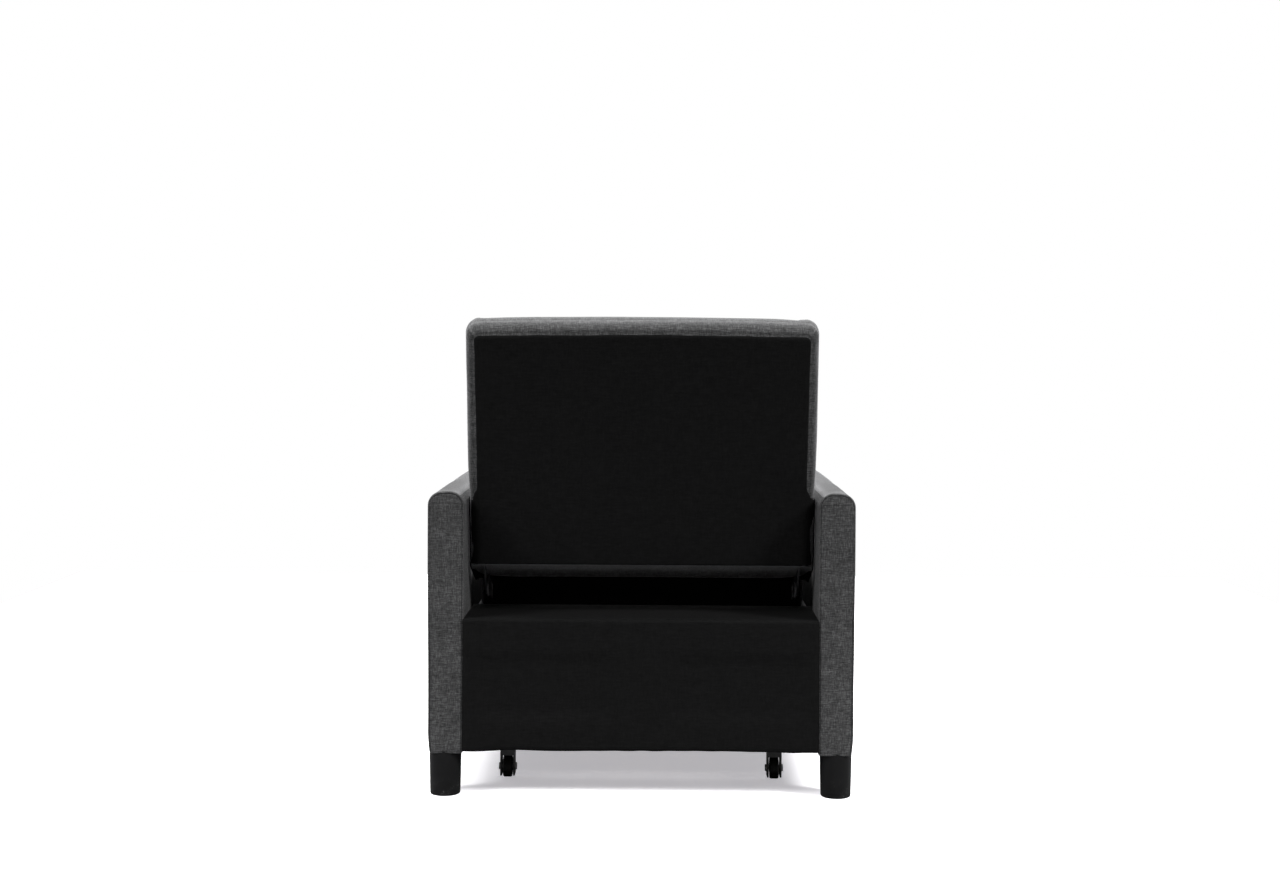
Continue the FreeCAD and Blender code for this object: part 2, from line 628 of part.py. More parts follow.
# welded tube frame of the back
b = new_body("back_frame")
fo, ft = frame_out, frame_tube
sk = sketch_on(b, "XZ_Plane", -(frame_n + ft))
polygon(sk, [(-fo, frame_low), (fo, frame_low), (fo, frame_top), (-fo, frame_top)])
gap = (frame_top - frame_low - ft * 2 - ft) / 2
polygon(sk, [(-(fo - ft), frame_low + ft), (fo - ft, frame_low + ft), (fo - ft, frame_low + ft + gap), (-(fo - ft), frame_low + ft + gap)])
polygon(sk, [(-(fo - ft), frame_top - ft - gap), (fo - ft, frame_top - ft - gap), (fo - ft, frame_top - ft), (-(fo - ft), frame_top - ft)])
pad(b, sk, ft)
keep(lean_place(b), "back_frame")

# sinuous springs between the frame's cross tubes: bent wire, shape swept in code
wire_r = 1.8
amp = 22.0
y_s = frame_n.val + 12.0
spans = [(frame_low.val + ft.val + 2.8, frame_low.val + ft.val + gap.val - 2.8),
         (frame_top.val - ft.val - gap.val + 2.8, frame_top.val - ft.val - 2.8)]
wires = []
for za, zb2 in spans:
    for xc in (-225.0, -75.0, 75.0, 225.0):
        n = 6
        pitch = (zb2 - za) / n
        edges = []
        p_prev = Vector(xc, y_s, za)
        for k in range(n):
            zc = za + pitch * (k + 0.5)
            sgn = 1 if k % 2 == 0 else -1
            p_next = Vector(xc, y_s, za + pitch * (k + 1))
            mid = Vector(xc + sgn * amp, y_s, zc)
            edges.append(Part.Arc(p_prev, mid, p_next).toShape())
            p_prev = p_next
        path = Part.Wire(edges)
        t0 = edges[0].tangentAt(edges[0].FirstParameter)
        prof = Part.Wire([Part.Circle(Vector(xc, y_s, za), t0, wire_r).toShape()])
        sw = path.makePipeShell([prof], True, False, 2)
        wires.append(sw)
sp = doc.addObject("Part::Feature", "back_springs")
sp.Shape = Part.makeCompound(wires)
keep(lean_place(sp), "back_springs")

# upper hinge plates: eye on the axis, arm up beside the frame
for side, tag in ((1, "l"), (-1, "r")):
    b = new_body("ratchet_upper_" + tag)
    p0, p1 = span(side, frame_out, frame_out + hinge_th)
    n0, n1 = frame_n, frame_n + ft
    sk = sketch_on(b, "YZ_Plane", p0)
    polygon(sk, [(-17, 5), (n0 + 1, 40), (n0 + 1, 150), (n1 - 1, 150), (n1 - 1, 50), (17.5, 2), (0, 0)])
    pad(b, sk, hinge_th)
    sk = sketch_on(b, "YZ_Plane", p0)
    circle(sk, 0, 0, eye_r)
    pad(b, sk, hinge_th)
    sk = sketch_on(b, "YZ_Plane", p0)
    circle(sk, 0, 0, hinge_pin_r + axle_gap)
    pocket(b, sk, hinge_th * 3)
    keep(lean_place(b), "ratchet_upper_" + tag)

# =============================================================== LEG REST
l_hi = leg_z - 3
box("legrest_board", (-leg_half, ly - leg_board, leg_low), (leg_half, ly, l_hi))
b = new_body("legrest_pad")
sk = sketch_on(b, "YZ_Plane", -leg_half)
polygon(sk, [(ly - leg_board, leg_low), (ly - leg_board, l_hi), (ly - leg_board - leg_pad, l_hi), (ly - leg_board - leg_pad, leg_low)])
pad(b, sk, leg_half * 2)
keep(b, "legrest_pad")
fy, fz = rear(-flip_depth), flip_z
for side, tag in ((1, "l"), (-1, "r")):
    b = new_body("legrest_plate_" + tag)
    p0, p1 = span(side, leg_half, leg_half + 3)
    sk = sketch_on(b, "YZ_Plane", p0)
    polygon(sk, [(ly - leg_board, lz), (ly, lz), (fy, fz), (fy - leg_board, fz)])
    pad(b, sk, 3)
    for cy, cz, cr in ((ly, lz, 8), (fy, fz, 8)):
        sk = sketch_on(b, "YZ_Plane", p0)
        circle(sk, cy, cz, cr)
        pad(b, sk, 3)
    for cy, cz, rr in ((ly, lz, leg_pin_r + axle_gap), (fy, fz, leg_pin_r)):
        sk = sketch_on(b, "YZ_Plane", p0)
        circle(sk, cy, cz, rr)
        pocket(b, sk, 9)
    keep(b, "legrest_plate_" + tag)
pins = []
for side in (1, -1):
    a0, a1 = span(side, flip_half, leg_half + 3)
    h0, h1 = span(side, leg_half + 3, leg_half + 5.5)
    pins.append(fuse("flip_pin_%d" % side, [rod("fp_a%d" % side, a0, a1, fy, fz, leg_pin_r), rod("fp_b%d" % side, h0, h1, fy, fz, 6)]))
group("flap_pins", pins)

# =================================================================== FLAP
f_lo = flip_z + 9
box("flap_board", (-flip_half, rear(0.5 - flip_depth), f_lo), (flip_half, rear(0.5 - flip_depth + 12), flip_top))
b = new_body("flap_pad")
sk = sketch_on(b, "YZ_Plane", -flip_half)
polygon(sk, [(rear(12.5 - flip_depth), f_lo), (rear(12.5 - flip_depth), flip_top), (rear(0.5 + flip_thick - flip_depth), flip_top), (rear(0.5 + flip_thick - flip_depth), f_lo)])
pad(b, sk, flip_half * 2)
keep(b, "flap_pad")
for side, tag in ((1, "l"), (-1, "r")):
    b = new_body("flap_plate_" + tag)
    p0, p1 = span(side, flip_half, flip_half + 3)
    sk = sketch_on(b, "YZ_Plane", p0)
    polygon(sk, [(fy, fz), (fy + 12, fz + 8), (fy + 12, fz + 90), (fy + 0.5, fz + 90)])
    pad(b, sk, 3)
    sk = sketch_on(b, "YZ_Plane", p0)
    circle(sk, fy, fz, 7)
    pad(b, sk, 3)
    sk = sketch_on(b, "YZ_Plane", p0)
    circle(sk, fy, fz, leg_pin_r + axle_gap)
    pocket(b, sk, 9)
    keep(b, "flap_plate_" + tag)

# ------------------------------------------------------------ check, write
doc.recompute()
bad = [o.Label for o in doc.Objects if "Invalid" in o.State or "Error" in o.State]
if bad:
    raise RuntimeError("failed objects: " + ", ".join(bad))
for name, o in sorted(nodes.items()):
    sh = o.Shape
    if sh.isNull() or not sh.isValid() or sh.Volume < 1.0:
        raise RuntimeError("bad shape: " + name)
if len(nodes) > 60:
    raise RuntimeError("too many nodes")
os.makedirs("parts", exist_ok=True)
lo = [1e9] * 3
hi = [-1e9] * 3
for name, o in sorted(nodes.items()):
    sh = o.Shape
    bb = sh.BoundBox
    for k, (a, c) in enumerate(((bb.XMin, bb.XMax), (bb.YMin, bb.YMax), (bb.ZMin, bb.ZMax))):
        lo[k] = min(lo[k], a)
        hi[k] = max(hi[k], c)
    sh.exportStep("parts/%s.step" % name)
print("%d nodes" % len(nodes))
print("box low %.2f %.2f %.2f high %.2f %.2f %.2f" % tuple(lo + hi))
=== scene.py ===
import json
import math

import bpy
import numpy as np
from mathutils import Matrix, Vector
from mathutils.bvhtree import BVHTree
from mathutils.kdtree import KDTree


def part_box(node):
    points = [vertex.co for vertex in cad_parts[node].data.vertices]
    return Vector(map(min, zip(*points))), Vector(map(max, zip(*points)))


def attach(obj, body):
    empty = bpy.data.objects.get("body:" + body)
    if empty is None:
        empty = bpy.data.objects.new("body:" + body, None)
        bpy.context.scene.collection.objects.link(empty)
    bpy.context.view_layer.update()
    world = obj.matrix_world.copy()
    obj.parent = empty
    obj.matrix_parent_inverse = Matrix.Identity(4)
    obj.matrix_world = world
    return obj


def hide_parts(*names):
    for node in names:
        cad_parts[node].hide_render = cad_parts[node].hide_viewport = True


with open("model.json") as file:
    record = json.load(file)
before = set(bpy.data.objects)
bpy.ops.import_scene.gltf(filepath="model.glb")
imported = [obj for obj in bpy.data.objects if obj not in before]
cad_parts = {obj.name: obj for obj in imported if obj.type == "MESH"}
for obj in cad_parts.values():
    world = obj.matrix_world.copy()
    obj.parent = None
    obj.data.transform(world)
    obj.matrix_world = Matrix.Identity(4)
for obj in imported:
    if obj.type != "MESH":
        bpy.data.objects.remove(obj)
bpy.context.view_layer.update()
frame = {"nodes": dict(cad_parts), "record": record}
scene = bpy.context.scene
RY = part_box("rear_cover")[1].y          # rear plane of the arms
MM = 0.001
LEAN = math.radians(14.5)
HINGE = Vector((0, RY - 0.140, 0.400))


# ------------------------------------------------------------------ noise
def vnoise(P, freq, seed=0):
    """Smooth value noise in -1..1 at points P (N,3), freq cells per metre."""
    q = np.asarray(P, float) * np.asarray(freq, float) + seed * 17.371
    i = np.floor(q).astype(np.int64)
    f = q - i
    u = f * f * f * (f * (f * 6 - 15) + 10)

    def h(ix, iy, iz):
        n = (ix * 374761393 + iy * 668265263 + iz * 1440670441 + seed * 974711) & 0xFFFFFFFF
        n = ((n ^ (n >> 13)) * 1274126177) & 0xFFFFFFFF
        n = ((n ^ (n >> 15)) * 2246822519) & 0xFFFFFFFF
        return ((n >> 8) & 0xFFFF) / 65535.0 * 2 - 1

    out = 0
    for a in (0, 1):
        for b in (0, 1):
            for c in (0, 1):
                w = (u[:, 0] if a else 1 - u[:, 0]) * (u[:, 1] if b else 1 - u[:, 1]) * (u[:, 2] if c else 1 - u[:, 2])
                out = out + w * h(i[:, 0] + a, i[:, 1] + b, i[:, 2] + c)
    return out


def smooth(x, a, b):
    t = np.clip((x - a) / (b - a), 0, 1)
    return t * t * (3 - 2 * t)


# ------------------------------------------------------------------ meshes
def grid_box(us, ts, vs):
    """Surface grid of a box. Returns points (u, t, v), quads, and index grids."""
    us, ts, vs = (np.asarray(a, float) for a in (us, ts, vs))
    n = (len(us), len(ts), len(vs))
    I, J, K = np.meshgrid(*[np.arange(k) for k in n], indexing="ij")
    m = (I == 0) | (I == n[0] - 1) | (J == 0) | (J == n[1] - 1) | (K == 0) | (K == n[2] - 1)
    idx = -np.ones(n, int)
    idx[m] = np.arange(m.sum())
    P = np.stack([us[I[m]], ts[J[m]], vs[K[m]]], 1)

    def quads(A):
        return np.stack([A[:-1, :-1].ravel(), A[1:, :-1].ravel(), A[1:, 1:].ravel(), A[:-1, 1:].ravel()], 1)

    F = np.concatenate([quads(idx[:, :, 0])[:, ::-1], quads(idx[:, :, -1]), quads(idx[:, 0, :]), quads(idx[:, -1, :])[:, ::-1],
                        quads(idx[0, :, :])[:, ::-1], quads(idx[-1, :, :])])
    return P, F, (I[m], J[m], K[m]), n


def fine(a, b, step, ra, rb, extra=()):
    """Positions from a to b, close together over a rounding ra at a and rb at b."""
    L = b - a

    def edge(r):
        if r <= 0:
            return [0.0]
        k = max(4, int(round(r / 0.0022)) + 2)
        out = [r * (1 - math.cos(math.pi / 2 * i / k)) for i in range(k + 1)]
        return out + [r + e for e in extra]

    ea, eb = edge(ra), edge(rb)
    mid0, mid1 = ea[-1], L - eb[-1]
    n = max(1, int(round((mid1 - mid0) / step)))
    mid = [mid0 + (mid1 - mid0) * i / n for i in range(1, n)]
    return np.array([a + x for x in ea] + [a + x for x in mid] + [a + L - x for x in reversed(eb)])


def round_corner(u, v, cu, cv, su, sv, r):
    """Turns the square corner beyond (cu, cv) towards (su, sv) into a quarter disc of radius r."""
    du, dv = (u - cu) * su, (v - cv) * sv
    k = (du > 0) & (dv > 0)
    e = np.hypot(du, dv)
    m = np.maximum(du, dv)
    s = np.where(k & (e > 1e-9), m / np.maximum(e, 1e-9), 1.0)
    return np.where(k, cu + su * du * s, u), np.where(k, cv + sv * dv * s, v)


def square_corner(u, v, cu, cv, su, sv):
    """The place in the square corner that round_corner brings to (u, v)."""
    du, dv = (u - cu) * su, (v - cv) * sv
    k = (du > 0) & (dv > 0)
    e, m = np.hypot(du, dv), np.maximum(du, dv)
    s = np.where(k & (m > 1e-9), e / np.maximum(m, 1e-9), 1.0)
    return np.where(k, cu + su * du * s, u), np.where(k, cv + sv * dv * s, v)


def fillet(D, r):
    if r <= 0:
        return np.zeros_like(D)
    x = np.clip(r - D, 0, r)
    return r - np.sqrt(np.maximum(r * r - x * x, 0))


def mesh_object(name, P, F, mat, smooth_shade=True):
    me = bpy.data.meshes.new(name)
    me.from_pydata([tuple(p) for p in P], [], [tuple(int(i) for i in f) for f in F])
    me.update()
    if smooth_shade:
        me.polygons.foreach_set("use_smooth", [True] * len(me.polygons))
    o = bpy.data.objects.new(name, me)
    scene.collection.objects.link(o)
    if mat is not None:
        me.materials.append(mat)
    return o


def coords(me):
    a = np.empty(len(me.vertices) * 3)
    me.vertices.foreach_get("co", a)
    return a.reshape(-1, 3)


def puff(o, keep, held, pressure=4.0, cap=0.016, voxel=0.006, frames=20):
    """Stuffs a cover: cloth under pressure on a remeshed copy, its movement carried back to the piece's own mesh.

    held(X) marks the copy's points that stay put; keep(X) is how far each of the piece's points follows, 0 to 1."""
    c = bpy.data.objects.new(o.name + "_copy", o.data.copy())
    scene.collection.objects.link(c)
    rm = c.modifiers.new("voxels", "REMESH")
    rm.mode = "VOXEL"
    rm.voxel_size = voxel
    fresh = bpy.data.meshes.new_from_object(c.evaluated_get(bpy.context.evaluated_depsgraph_get()))
    c.modifiers.clear()
    c.data = fresh
    X0 = coords(fresh)
    grp = c.vertex_groups.new(name="held")
    grp.add([int(i) for i in np.nonzero(held(X0))[0]], 1.0, "REPLACE")
    cl = c.modifiers.new("cloth", "CLOTH")
    st = cl.settings
    st.quality = 4
    st.mass = 0.3
    st.use_pressure = True
    st.uniform_pressure_force = pressure
    st.effector_weights.gravity = 0.0
    st.vertex_group_mass = "held"
    cl.collision_settings.use_collision = False
    cl.collision_settings.use_self_collision = False
    cl.point_cache.frame_start = 1
    cl.point_cache.frame_end = frames
    for f in range(1, frames + 1):
        scene.frame_set(f)
    ev = c.evaluated_get(bpy.context.evaluated_depsgraph_get())
    X1 = coords(ev.data)
    scene.frame_set(1)
    move = X1 - X0
    far = np.linalg.norm(move, axis=1, keepdims=True)
    move = move * np.minimum(1.0, cap / np.maximum(far, 1e-9))
    tree = KDTree(len(X0))
    for i, q in enumerate(X0):
        tree.insert(q, i)
    tree.balance()
    X = coords(o.data)
    w = keep(X)
    add = np.zeros_like(X)
    for i in np.nonzero(w > 0)[0]:
        hits = tree.find_n(X[i], 6)
        k = np.array([1.0 / (h[2] + 0.002) for h in hits])
        add[i] = (move[[h[1] for h in hits]] * k[:, None]).sum(0) / k.sum()
    X = X + add * w[:, None]
    o.data.vertices.foreach_set("co", X.ravel())
    o.data.update()
    bpy.data.objects.remove(c)
    bpy.data.meshes.remove(fresh)
    print("stuffed", o.name, len(X0), "points, most movement", round(float(np.linalg.norm(add * w[:, None], axis=1).max()), 4))


# --------------------------------------------------------------- materials
def node_mat(name):
    m = bpy.data.materials.new(name)
    m.use_nodes = True
    nt = m.node_tree
    nt.nodes.clear()
    out = nt.nodes.new("ShaderNodeOutputMaterial")
    bsdf = nt.nodes.new("ShaderNodeBsdfPrincipled")
    nt.links.new(bsdf.outputs[0], out.inputs[0])
    return m, nt, bsdf


def N(nt, kind, **vals):
    n = nt.nodes.new(kind)
    for k, v in vals.items():
        if k.startswith("in_"):
            n.inputs[k[3:].replace("_", " ")].default_value = v
        else:
            setattr(n, k, v)
    return n


def math_node(nt, op, a, b=None, c=None, clamp=False):
    n = nt.nodes.new("ShaderNodeMath")
    n.operation = op
    n.use_clamp = clamp
    for i, x in enumerate((a, b, c)):
        if x is None:
            continue
        if isinstance(x, (int, float)):
            n.inputs[i].default_value = x
        else:
            nt.links.new(x, n.inputs[i])
    return n.outputs[0]


def mix_color(nt, fac, a, b, blend="MIX"):
    n = nt.nodes.new("ShaderNodeMix")
    n.data_type = "RGBA"
    n.blend_type = blend
    n.clamp_factor = True
    for sock, x in ((n.inputs[0], fac), (n.inputs[6], a), (n.inputs[7], b)):
        if isinstance(x, (int, float)):
            sock.default_value = x
        elif isinstance(x, (tuple, list)):
            sock.default_value = (*x[:3], 1.0)
        else:
            nt.links.new(x, sock)
    return n.outputs[2]


def surface_uv(nt):
    """Flat cloth coordinates from the place on the surface: the two axes across the face's main direction."""
    tc = nt.nodes.new("ShaderNodeTexCoord")
    p = nt.nodes.new("ShaderNodeSeparateXYZ")
    nt.links.new(tc.outputs["Object"], p.inputs[0])
    nn = nt.nodes.new("ShaderNodeSeparateXYZ")
    nt.links.new(tc.outputs["Normal"], nn.inputs[0])
    ax, ay, az = (math_node(nt, "ABSOLUTE", nn.outputs[i]) for i in range(3))
    x_wins = math_node(nt, "MULTIPLY", math_node(nt, "GREATER_THAN", ax, ay), math_node(nt, "GREATER_THAN", ax, az))
    z_wins = math_node(nt, "MULTIPLY", math_node(nt, "GREATER_THAN", az, ay), math_node(nt, "GREATER_THAN", az, ax))
    # u is x, or y on the faces that look sideways; v is z, or y on the faces that look up
    u = math_node(nt, "ADD", math_node(nt, "MULTIPLY", p.outputs[0], math_node(nt, "SUBTRACT", 1.0, x_wins)), math_node(nt, "MULTIPLY", p.outputs[1], x_wins))
    v = math_node(nt, "ADD", math_node(nt, "MULTIPLY", p.outputs[2], math_node(nt, "SUBTRACT", 1.0, z_wins)), math_node(nt, "MULTIPLY", p.outputs[1], z_wins))
    return tc, u, v


def stretched_noise(nt, u, v, su, sv, detail=2.0, rough=0.5, off=0.0):
    c = nt.nodes.new("ShaderNodeCombineXYZ")
    nt.links.new(math_node(nt, "MULTIPLY", u, su), c.inputs[0])
    nt.links.new(math_node(nt, "MULTIPLY", v, sv), c.inputs[1])
    c.inputs[2].default_value = off
    n = nt.nodes.new("ShaderNodeTexNoise")
    n.inputs["Scale"].default_value = 1.0
    n.inputs["Detail"].default_value = detail
    n.inputs["Roughness"].default_value = rough
    nt.links.new(c.outputs[0], n.inputs["Vector"])
    return n.outputs["Fac"]


def ramp(nt, fac, stops):
    r = nt.nodes.new("ShaderNodeValToRGB")
    r.color_ramp.interpolation = "LINEAR"
    els = r.color_ramp.elements
    while len(els) < len(stops):
        els.new(0.5)
    for e, (pos, c) in zip(els, stops):
        e.position = pos
        e.color = (*c, 1.0) if len(c) == 3 else c
    nt.links.new(fac, r.inputs[0])
    return r.outputs[0]


def cloth_material(name, dark, mid, light, pitch=0.0011, contrast=1.0, rough=0.92, spec=0.2, sheen=0.35, bump=0.35, slub=1.0):
    """Woven cloth: plain weave of pitch metres, slubs both ways, slow mottling."""
    m, nt, b = node_mat(name)
    tc, u, v = surface_uv(nt)
    warp = stretched_noise(nt, u, v, 430 * slub, 75 * slub, 2.0, 0.6, 1.3)       # upright slubs
    weft = stretched_noise(nt, u, v, 62 * slub, 480 * slub, 2.0, 0.6, 7.7)       # level slubs
    warp2 = stretched_noise(nt, u, v, 1000 * slub, 240 * slub, 1.0, 0.5, 3.1)
    weft2 = stretched_noise(nt, u, v, 210 * slub, 1050 * slub, 1.0, 0.5, 5.9)
    slow = stretched_noise(nt, u, v, 16, 16, 3.0, 0.6, 9.2)
    k1 = math_node(nt, "ADD", math_node(nt, "MULTIPLY", warp, 0.30), math_node(nt, "MULTIPLY", weft, 0.34))
    k2 = math_node(nt, "ADD", math_node(nt, "MULTIPLY", warp2, 0.14), math_node(nt, "MULTIPLY", weft2, 0.14))
    k = math_node(nt, "ADD", math_node(nt, "ADD", k1, k2), math_node(nt, "MULTIPLY", slow, 0.08))
    lo, hi = 0.5 - 0.16 / contrast, 0.5 + 0.17 / contrast
    col = ramp(nt, k, [(lo, dark), (0.5, mid), (hi, light)])
    # plain weave: threads over and under
    fu = math_node(nt, "SINE", math_node(nt, "MULTIPLY", u, 2 * math.pi / (2 * pitch)))
    fv = math_node(nt, "SINE", math_node(nt, "MULTIPLY", v, 2 * math.pi / (2 * pitch)))
    over = math_node(nt, "MULTIPLY", fu, fv)
    tu = math_node(nt, "ABSOLUTE", fu)
    tv = math_node(nt, "ABSOLUTE", fv)
    weave = math_node(nt, "ADD", math_node(nt, "MULTIPLY", math_node(nt, "ADD", tu, tv), 0.5), math_node(nt, "MULTIPLY", over, 0.35))
    shade = math_node(nt, "ADD", 0.80, math_node(nt, "MULTIPLY", weave, 0.25))
    mul = nt.nodes.new("ShaderNodeVectorMath")
    mul.operation = "SCALE"
    nt.links.new(col, mul.inputs[0])
    nt.links.new(shade, mul.inputs["Scale"])
    nt.links.new(mul.outputs[0], b.inputs["Base Color"])
    height = math_node(nt, "ADD", math_node(nt, "MULTIPLY", weave, 0.5), math_node(nt, "MULTIPLY", k, 1.2))
    bp = nt.nodes.new("ShaderNodeBump")
    bp.inputs["Strength"].default_value = bump
    bp.inputs["Distance"].default_value = 0.0006
    nt.links.new(height, bp.inputs["Height"])
    nt.links.new(bp.outputs[0], b.inputs["Normal"])
    rr = math_node(nt, "ADD", rough - 0.08, math_node(nt, "MULTIPLY", slow, 0.14))
    nt.links.new(rr, b.inputs["Roughness"])
    b.inputs["Specular IOR Level"].default_value = spec
    b.inputs["Sheen Weight"].default_value = sheen
    b.inputs["Sheen Roughness"].default_value = 0.45
    b.inputs["Sheen Tint"].default_value = (0.85, 0.85, 0.87, 1)
    return m


def plastic_material(name, color, rough=0.42, grain=0.5, dust=0.0, spec=0.5):
    m, nt, b = node_mat(name)
    b.inputs["Specular IOR Level"].default_value = spec
    tc = nt.nodes.new("ShaderNodeTexCoord")
    n1 = N(nt, "ShaderNodeTexNoise", in_Scale=900.0, in_Detail=2.0)
    n2 = N(nt, "ShaderNodeTexNoise", in_Scale=38.0, in_Detail=4.0, in_Roughness=0.65)
    n3 = N(nt, "ShaderNodeTexVoronoi", in_Scale=520.0)
    for n in (n1, n2, n3):
        nt.links.new(tc.outputs["Object"], n.inputs["Vector"])
    base = mix_color(nt, math_node(nt, "MULTIPLY", n2.outputs["Fac"], 0.5), color, tuple(min(1, c * 1.7 + 0.004) for c in color))
    if dust > 0:
        # grey scuffs and specks low down, where shoes and the floor reach
        sep = nt.nodes.new("ShaderNodeSeparateXYZ")
        nt.links.new(tc.outputs["Object"], sep.inputs[0])
        low = math_node(nt, "SUBTRACT", 1.0, math_node(nt, "MULTIPLY", sep.outputs[2], 26.0), clamp=True)
        specks = ramp(nt, n1.outputs["Fac"], [(0.60, (0, 0, 0)), (0.70, (1, 1, 1))])
        patch = ramp(nt, n2.outputs["Fac"], [(0.50, (0, 0, 0)), (0.66, (1, 1, 1))])
        f = math_node(nt, "MULTIPLY", math_node(nt, "MULTIPLY", low, specks), math_node(nt, "MULTIPLY", patch, dust))
        base = mix_color(nt, f, base, (0.16, 0.16, 0.16))
    nt.links.new(base, b.inputs["Base Color"])
    rr = math_node(nt, "ADD", rough - 0.06, math_node(nt, "MULTIPLY", n2.outputs["Fac"], 0.16))
    nt.links.new(rr, b.inputs["Roughness"])
    bp = nt.nodes.new("ShaderNodeBump")
    bp.inputs["Strength"].default_value = 0.12 * grain
    bp.inputs["Distance"].default_value = 0.0004
    nt.links.new(math_node(nt, "ADD", n1.outputs["Fac"], math_node(nt, "MULTIPLY", n3.outputs["Distance"], 0.6)), bp.inputs["Height"])
    nt.links.new(bp.outputs[0], b.inputs["Normal"])
    return m


def metal_material(name, color, rough=0.34, metallic=1.0, brush=(4, 4, 600), tint=0.25):
    m, nt, b = node_mat(name)
    tc = nt.nodes.new("ShaderNodeTexCoord")
    mp = nt.nodes.new("ShaderNodeMapping")
    mp.inputs["Scale"].default_value = brush
    nt.links.new(tc.outputs["Object"], mp.inputs["Vector"])
    n1 = N(nt, "ShaderNodeTexNoise", in_Scale=1.0, in_Detail=3.0)
    nt.links.new(mp.outputs[0], n1.inputs["Vector"])
    n2 = N(nt, "ShaderNodeTexNoise", in_Scale=60.0, in_Detail=4.0, in_Roughness=0.6)
    nt.links.new(tc.outputs["Object"], n2.inputs["Vector"])
    c2 = tuple(c * (1 - tint) for c in color)
    nt.links.new(mix_color(nt, n2.outputs["Fac"], color, c2), b.inputs["Base Color"])
    b.inputs["Metallic"].default_value = metallic
    rr = math_node(nt, "ADD", rough - 0.1, math_node(nt, "MULTIPLY", math_node(nt, "ADD", n1.outputs["Fac"], n2.outputs["Fac"]), 0.12))
    nt.links.new(rr, b.inputs["Roughness"])
    bp = nt.nodes.new("ShaderNodeBump")
    bp.inputs["Strength"].default_value = 0.08
    bp.inputs["Distance"].default_value = 0.0003
    nt.links.new(n1.outputs["Fac"], bp.inputs["Height"])
    nt.links.new(bp.outputs[0], b.inputs["Normal"])
    return m


def wood_material(name, light, dark, along="x", scale=1.0, ply=False):
    m, nt, b = node_mat(name)
    tc = nt.nodes.new("ShaderNodeTexCoord")
    mp = nt.nodes.new("ShaderNodeMapping")
    mp.inputs["Scale"].default_value = {"x": (1.6, 26, 26), "y": (26, 1.6, 26), "z": (26, 26, 1.6)}[along]
    nt.links.new(tc.outputs["Object"], mp.inputs["Vector"])
    n1 = N(nt, "ShaderNodeTexNoise", in_Scale=2.2 * scale, in_Detail=5.0, in_Distortion=1.2)
    nt.links.new(mp.outputs[0], n1.inputs["Vector"])
    n2 = N(nt, "ShaderNodeTexNoise", in_Scale=14.0 * scale, in_Detail=3.0)
    nt.links.new(mp.outputs[0], n2.inputs["Vector"])
    rings = math_node(nt, "FRACT", math_node(nt, "MULTIPLY", n1.outputs["Fac"], 9.0))
    f = math_node(nt, "ADD", math_node(nt, "MULTIPLY", rings, 0.55), math_node(nt, "MULTIPLY", n2.outputs["Fac"], 0.5))
    nt.links.new(mix_color(nt, f, light, dark), b.inputs["Base Color"])
    nt.links.new(math_node(nt, "ADD", 0.5, math_node(nt, "MULTIPLY", n2.outputs["Fac"], 0.25)), b.inputs["Roughness"])
    bp = nt.nodes.new("ShaderNodeBump")
    bp.inputs["Strength"].default_value = 0.2
    bp.inputs["Distance"].default_value = 0.0005
    nt.links.new(f, bp.inputs["Height"])
    nt.links.new(bp.outputs[0], b.inputs["Normal"])
    return m


G = lambda v: (v, v * 1.0, v * 1.01)
LINEN = cloth_material("linen_weave", G(0.0093), G(0.0310), G(0.073), spec=0.1, sheen=0.25, contrast=1.45, slub=1.2)
# darker copy of the linen with little sheen: painted shade for the arms' inner faces, which lie in the back's shadow
LINEN_SHADED = cloth_material("linen_weave_painted_shade", G(0.0092), G(0.0285), G(0.064), spec=0.05, sheen=0.06, contrast=1.45, slub=1.2)
BLACK = cloth_material("black_nonwoven", G(0.0019), G(0.0043), G(0.0074), pitch=0.0014, contrast=0.9, rough=0.88, spec=0.05, sheen=0.0, bump=0.3, slub=0.8)
# black lining cloth; also used as painted shade on the arms' inner faces beside the seat
BLACK_LINING_AND_SHADE = cloth_material("black_lining_and_painted_shade", G(0.0015), G(0.0035), G(0.0060), pitch=0.0014, contrast=0.9, rough=0.88, spec=0.06, sheen=0.0, bump=0.3, slub=0.8)
# near-black cord for the arm panels' seams: the stitching is real, its black is painted shade for the groove's shadow
SEAM_THREAD_SHADE = plastic_material("seam_thread_painted_shade", (0.0055, 0.0055, 0.006), rough=0.8, spec=0.1)
MATS = {
    "upholstery": LINEN,
    "seat_cloth": LINEN,
    "black_cloth": BLACK,
    "wood": wood_material("pine", (0.50, 0.38, 0.235), (0.35, 0.245, 0.135)),
    "plywood": wood_material("birch_ply", (0.62, 0.47, 0.29), (0.46, 0.32, 0.17), scale=0.7),
    "black_plastic": plastic_material("black_plastic", (0.0043, 0.0043, 0.0045), rough=0.48, grain=0.8, dust=0.9, spec=0.05),
    "nylon": plastic_material("nylon", (0.70, 0.69, 0.65), rough=0.5),
    "wheel_plastic": plastic_material("wheel_plastic", (0.004, 0.004, 0.004), rough=0.5, spec=0.2),
    "black_steel": metal_material("black_powder_coat", (0.010, 0.010, 0.0105), rough=0.48, metallic=0.0, brush=(500, 500, 500), tint=0.1),
    "zinc": metal_material("zinc_plate", (0.40, 0.40, 0.41), rough=0.44),
    "spring_wire": metal_material("spring_wire", (0.24, 0.24, 0.25), rough=0.35),
}
# dark, dull copy of the zinc plate: painted shade for the hinge, ratchet, pin and slide parts that sit in shadow inside
# the chair
ZINC_PAINTED_SHADE = metal_material("zinc_painted_shade", (0.045, 0.045, 0.047), rough=0.78, metallic=0.4)
slot_of = {s["node"]: s["material_slot"] for s in frame["record"]["subparts"]}
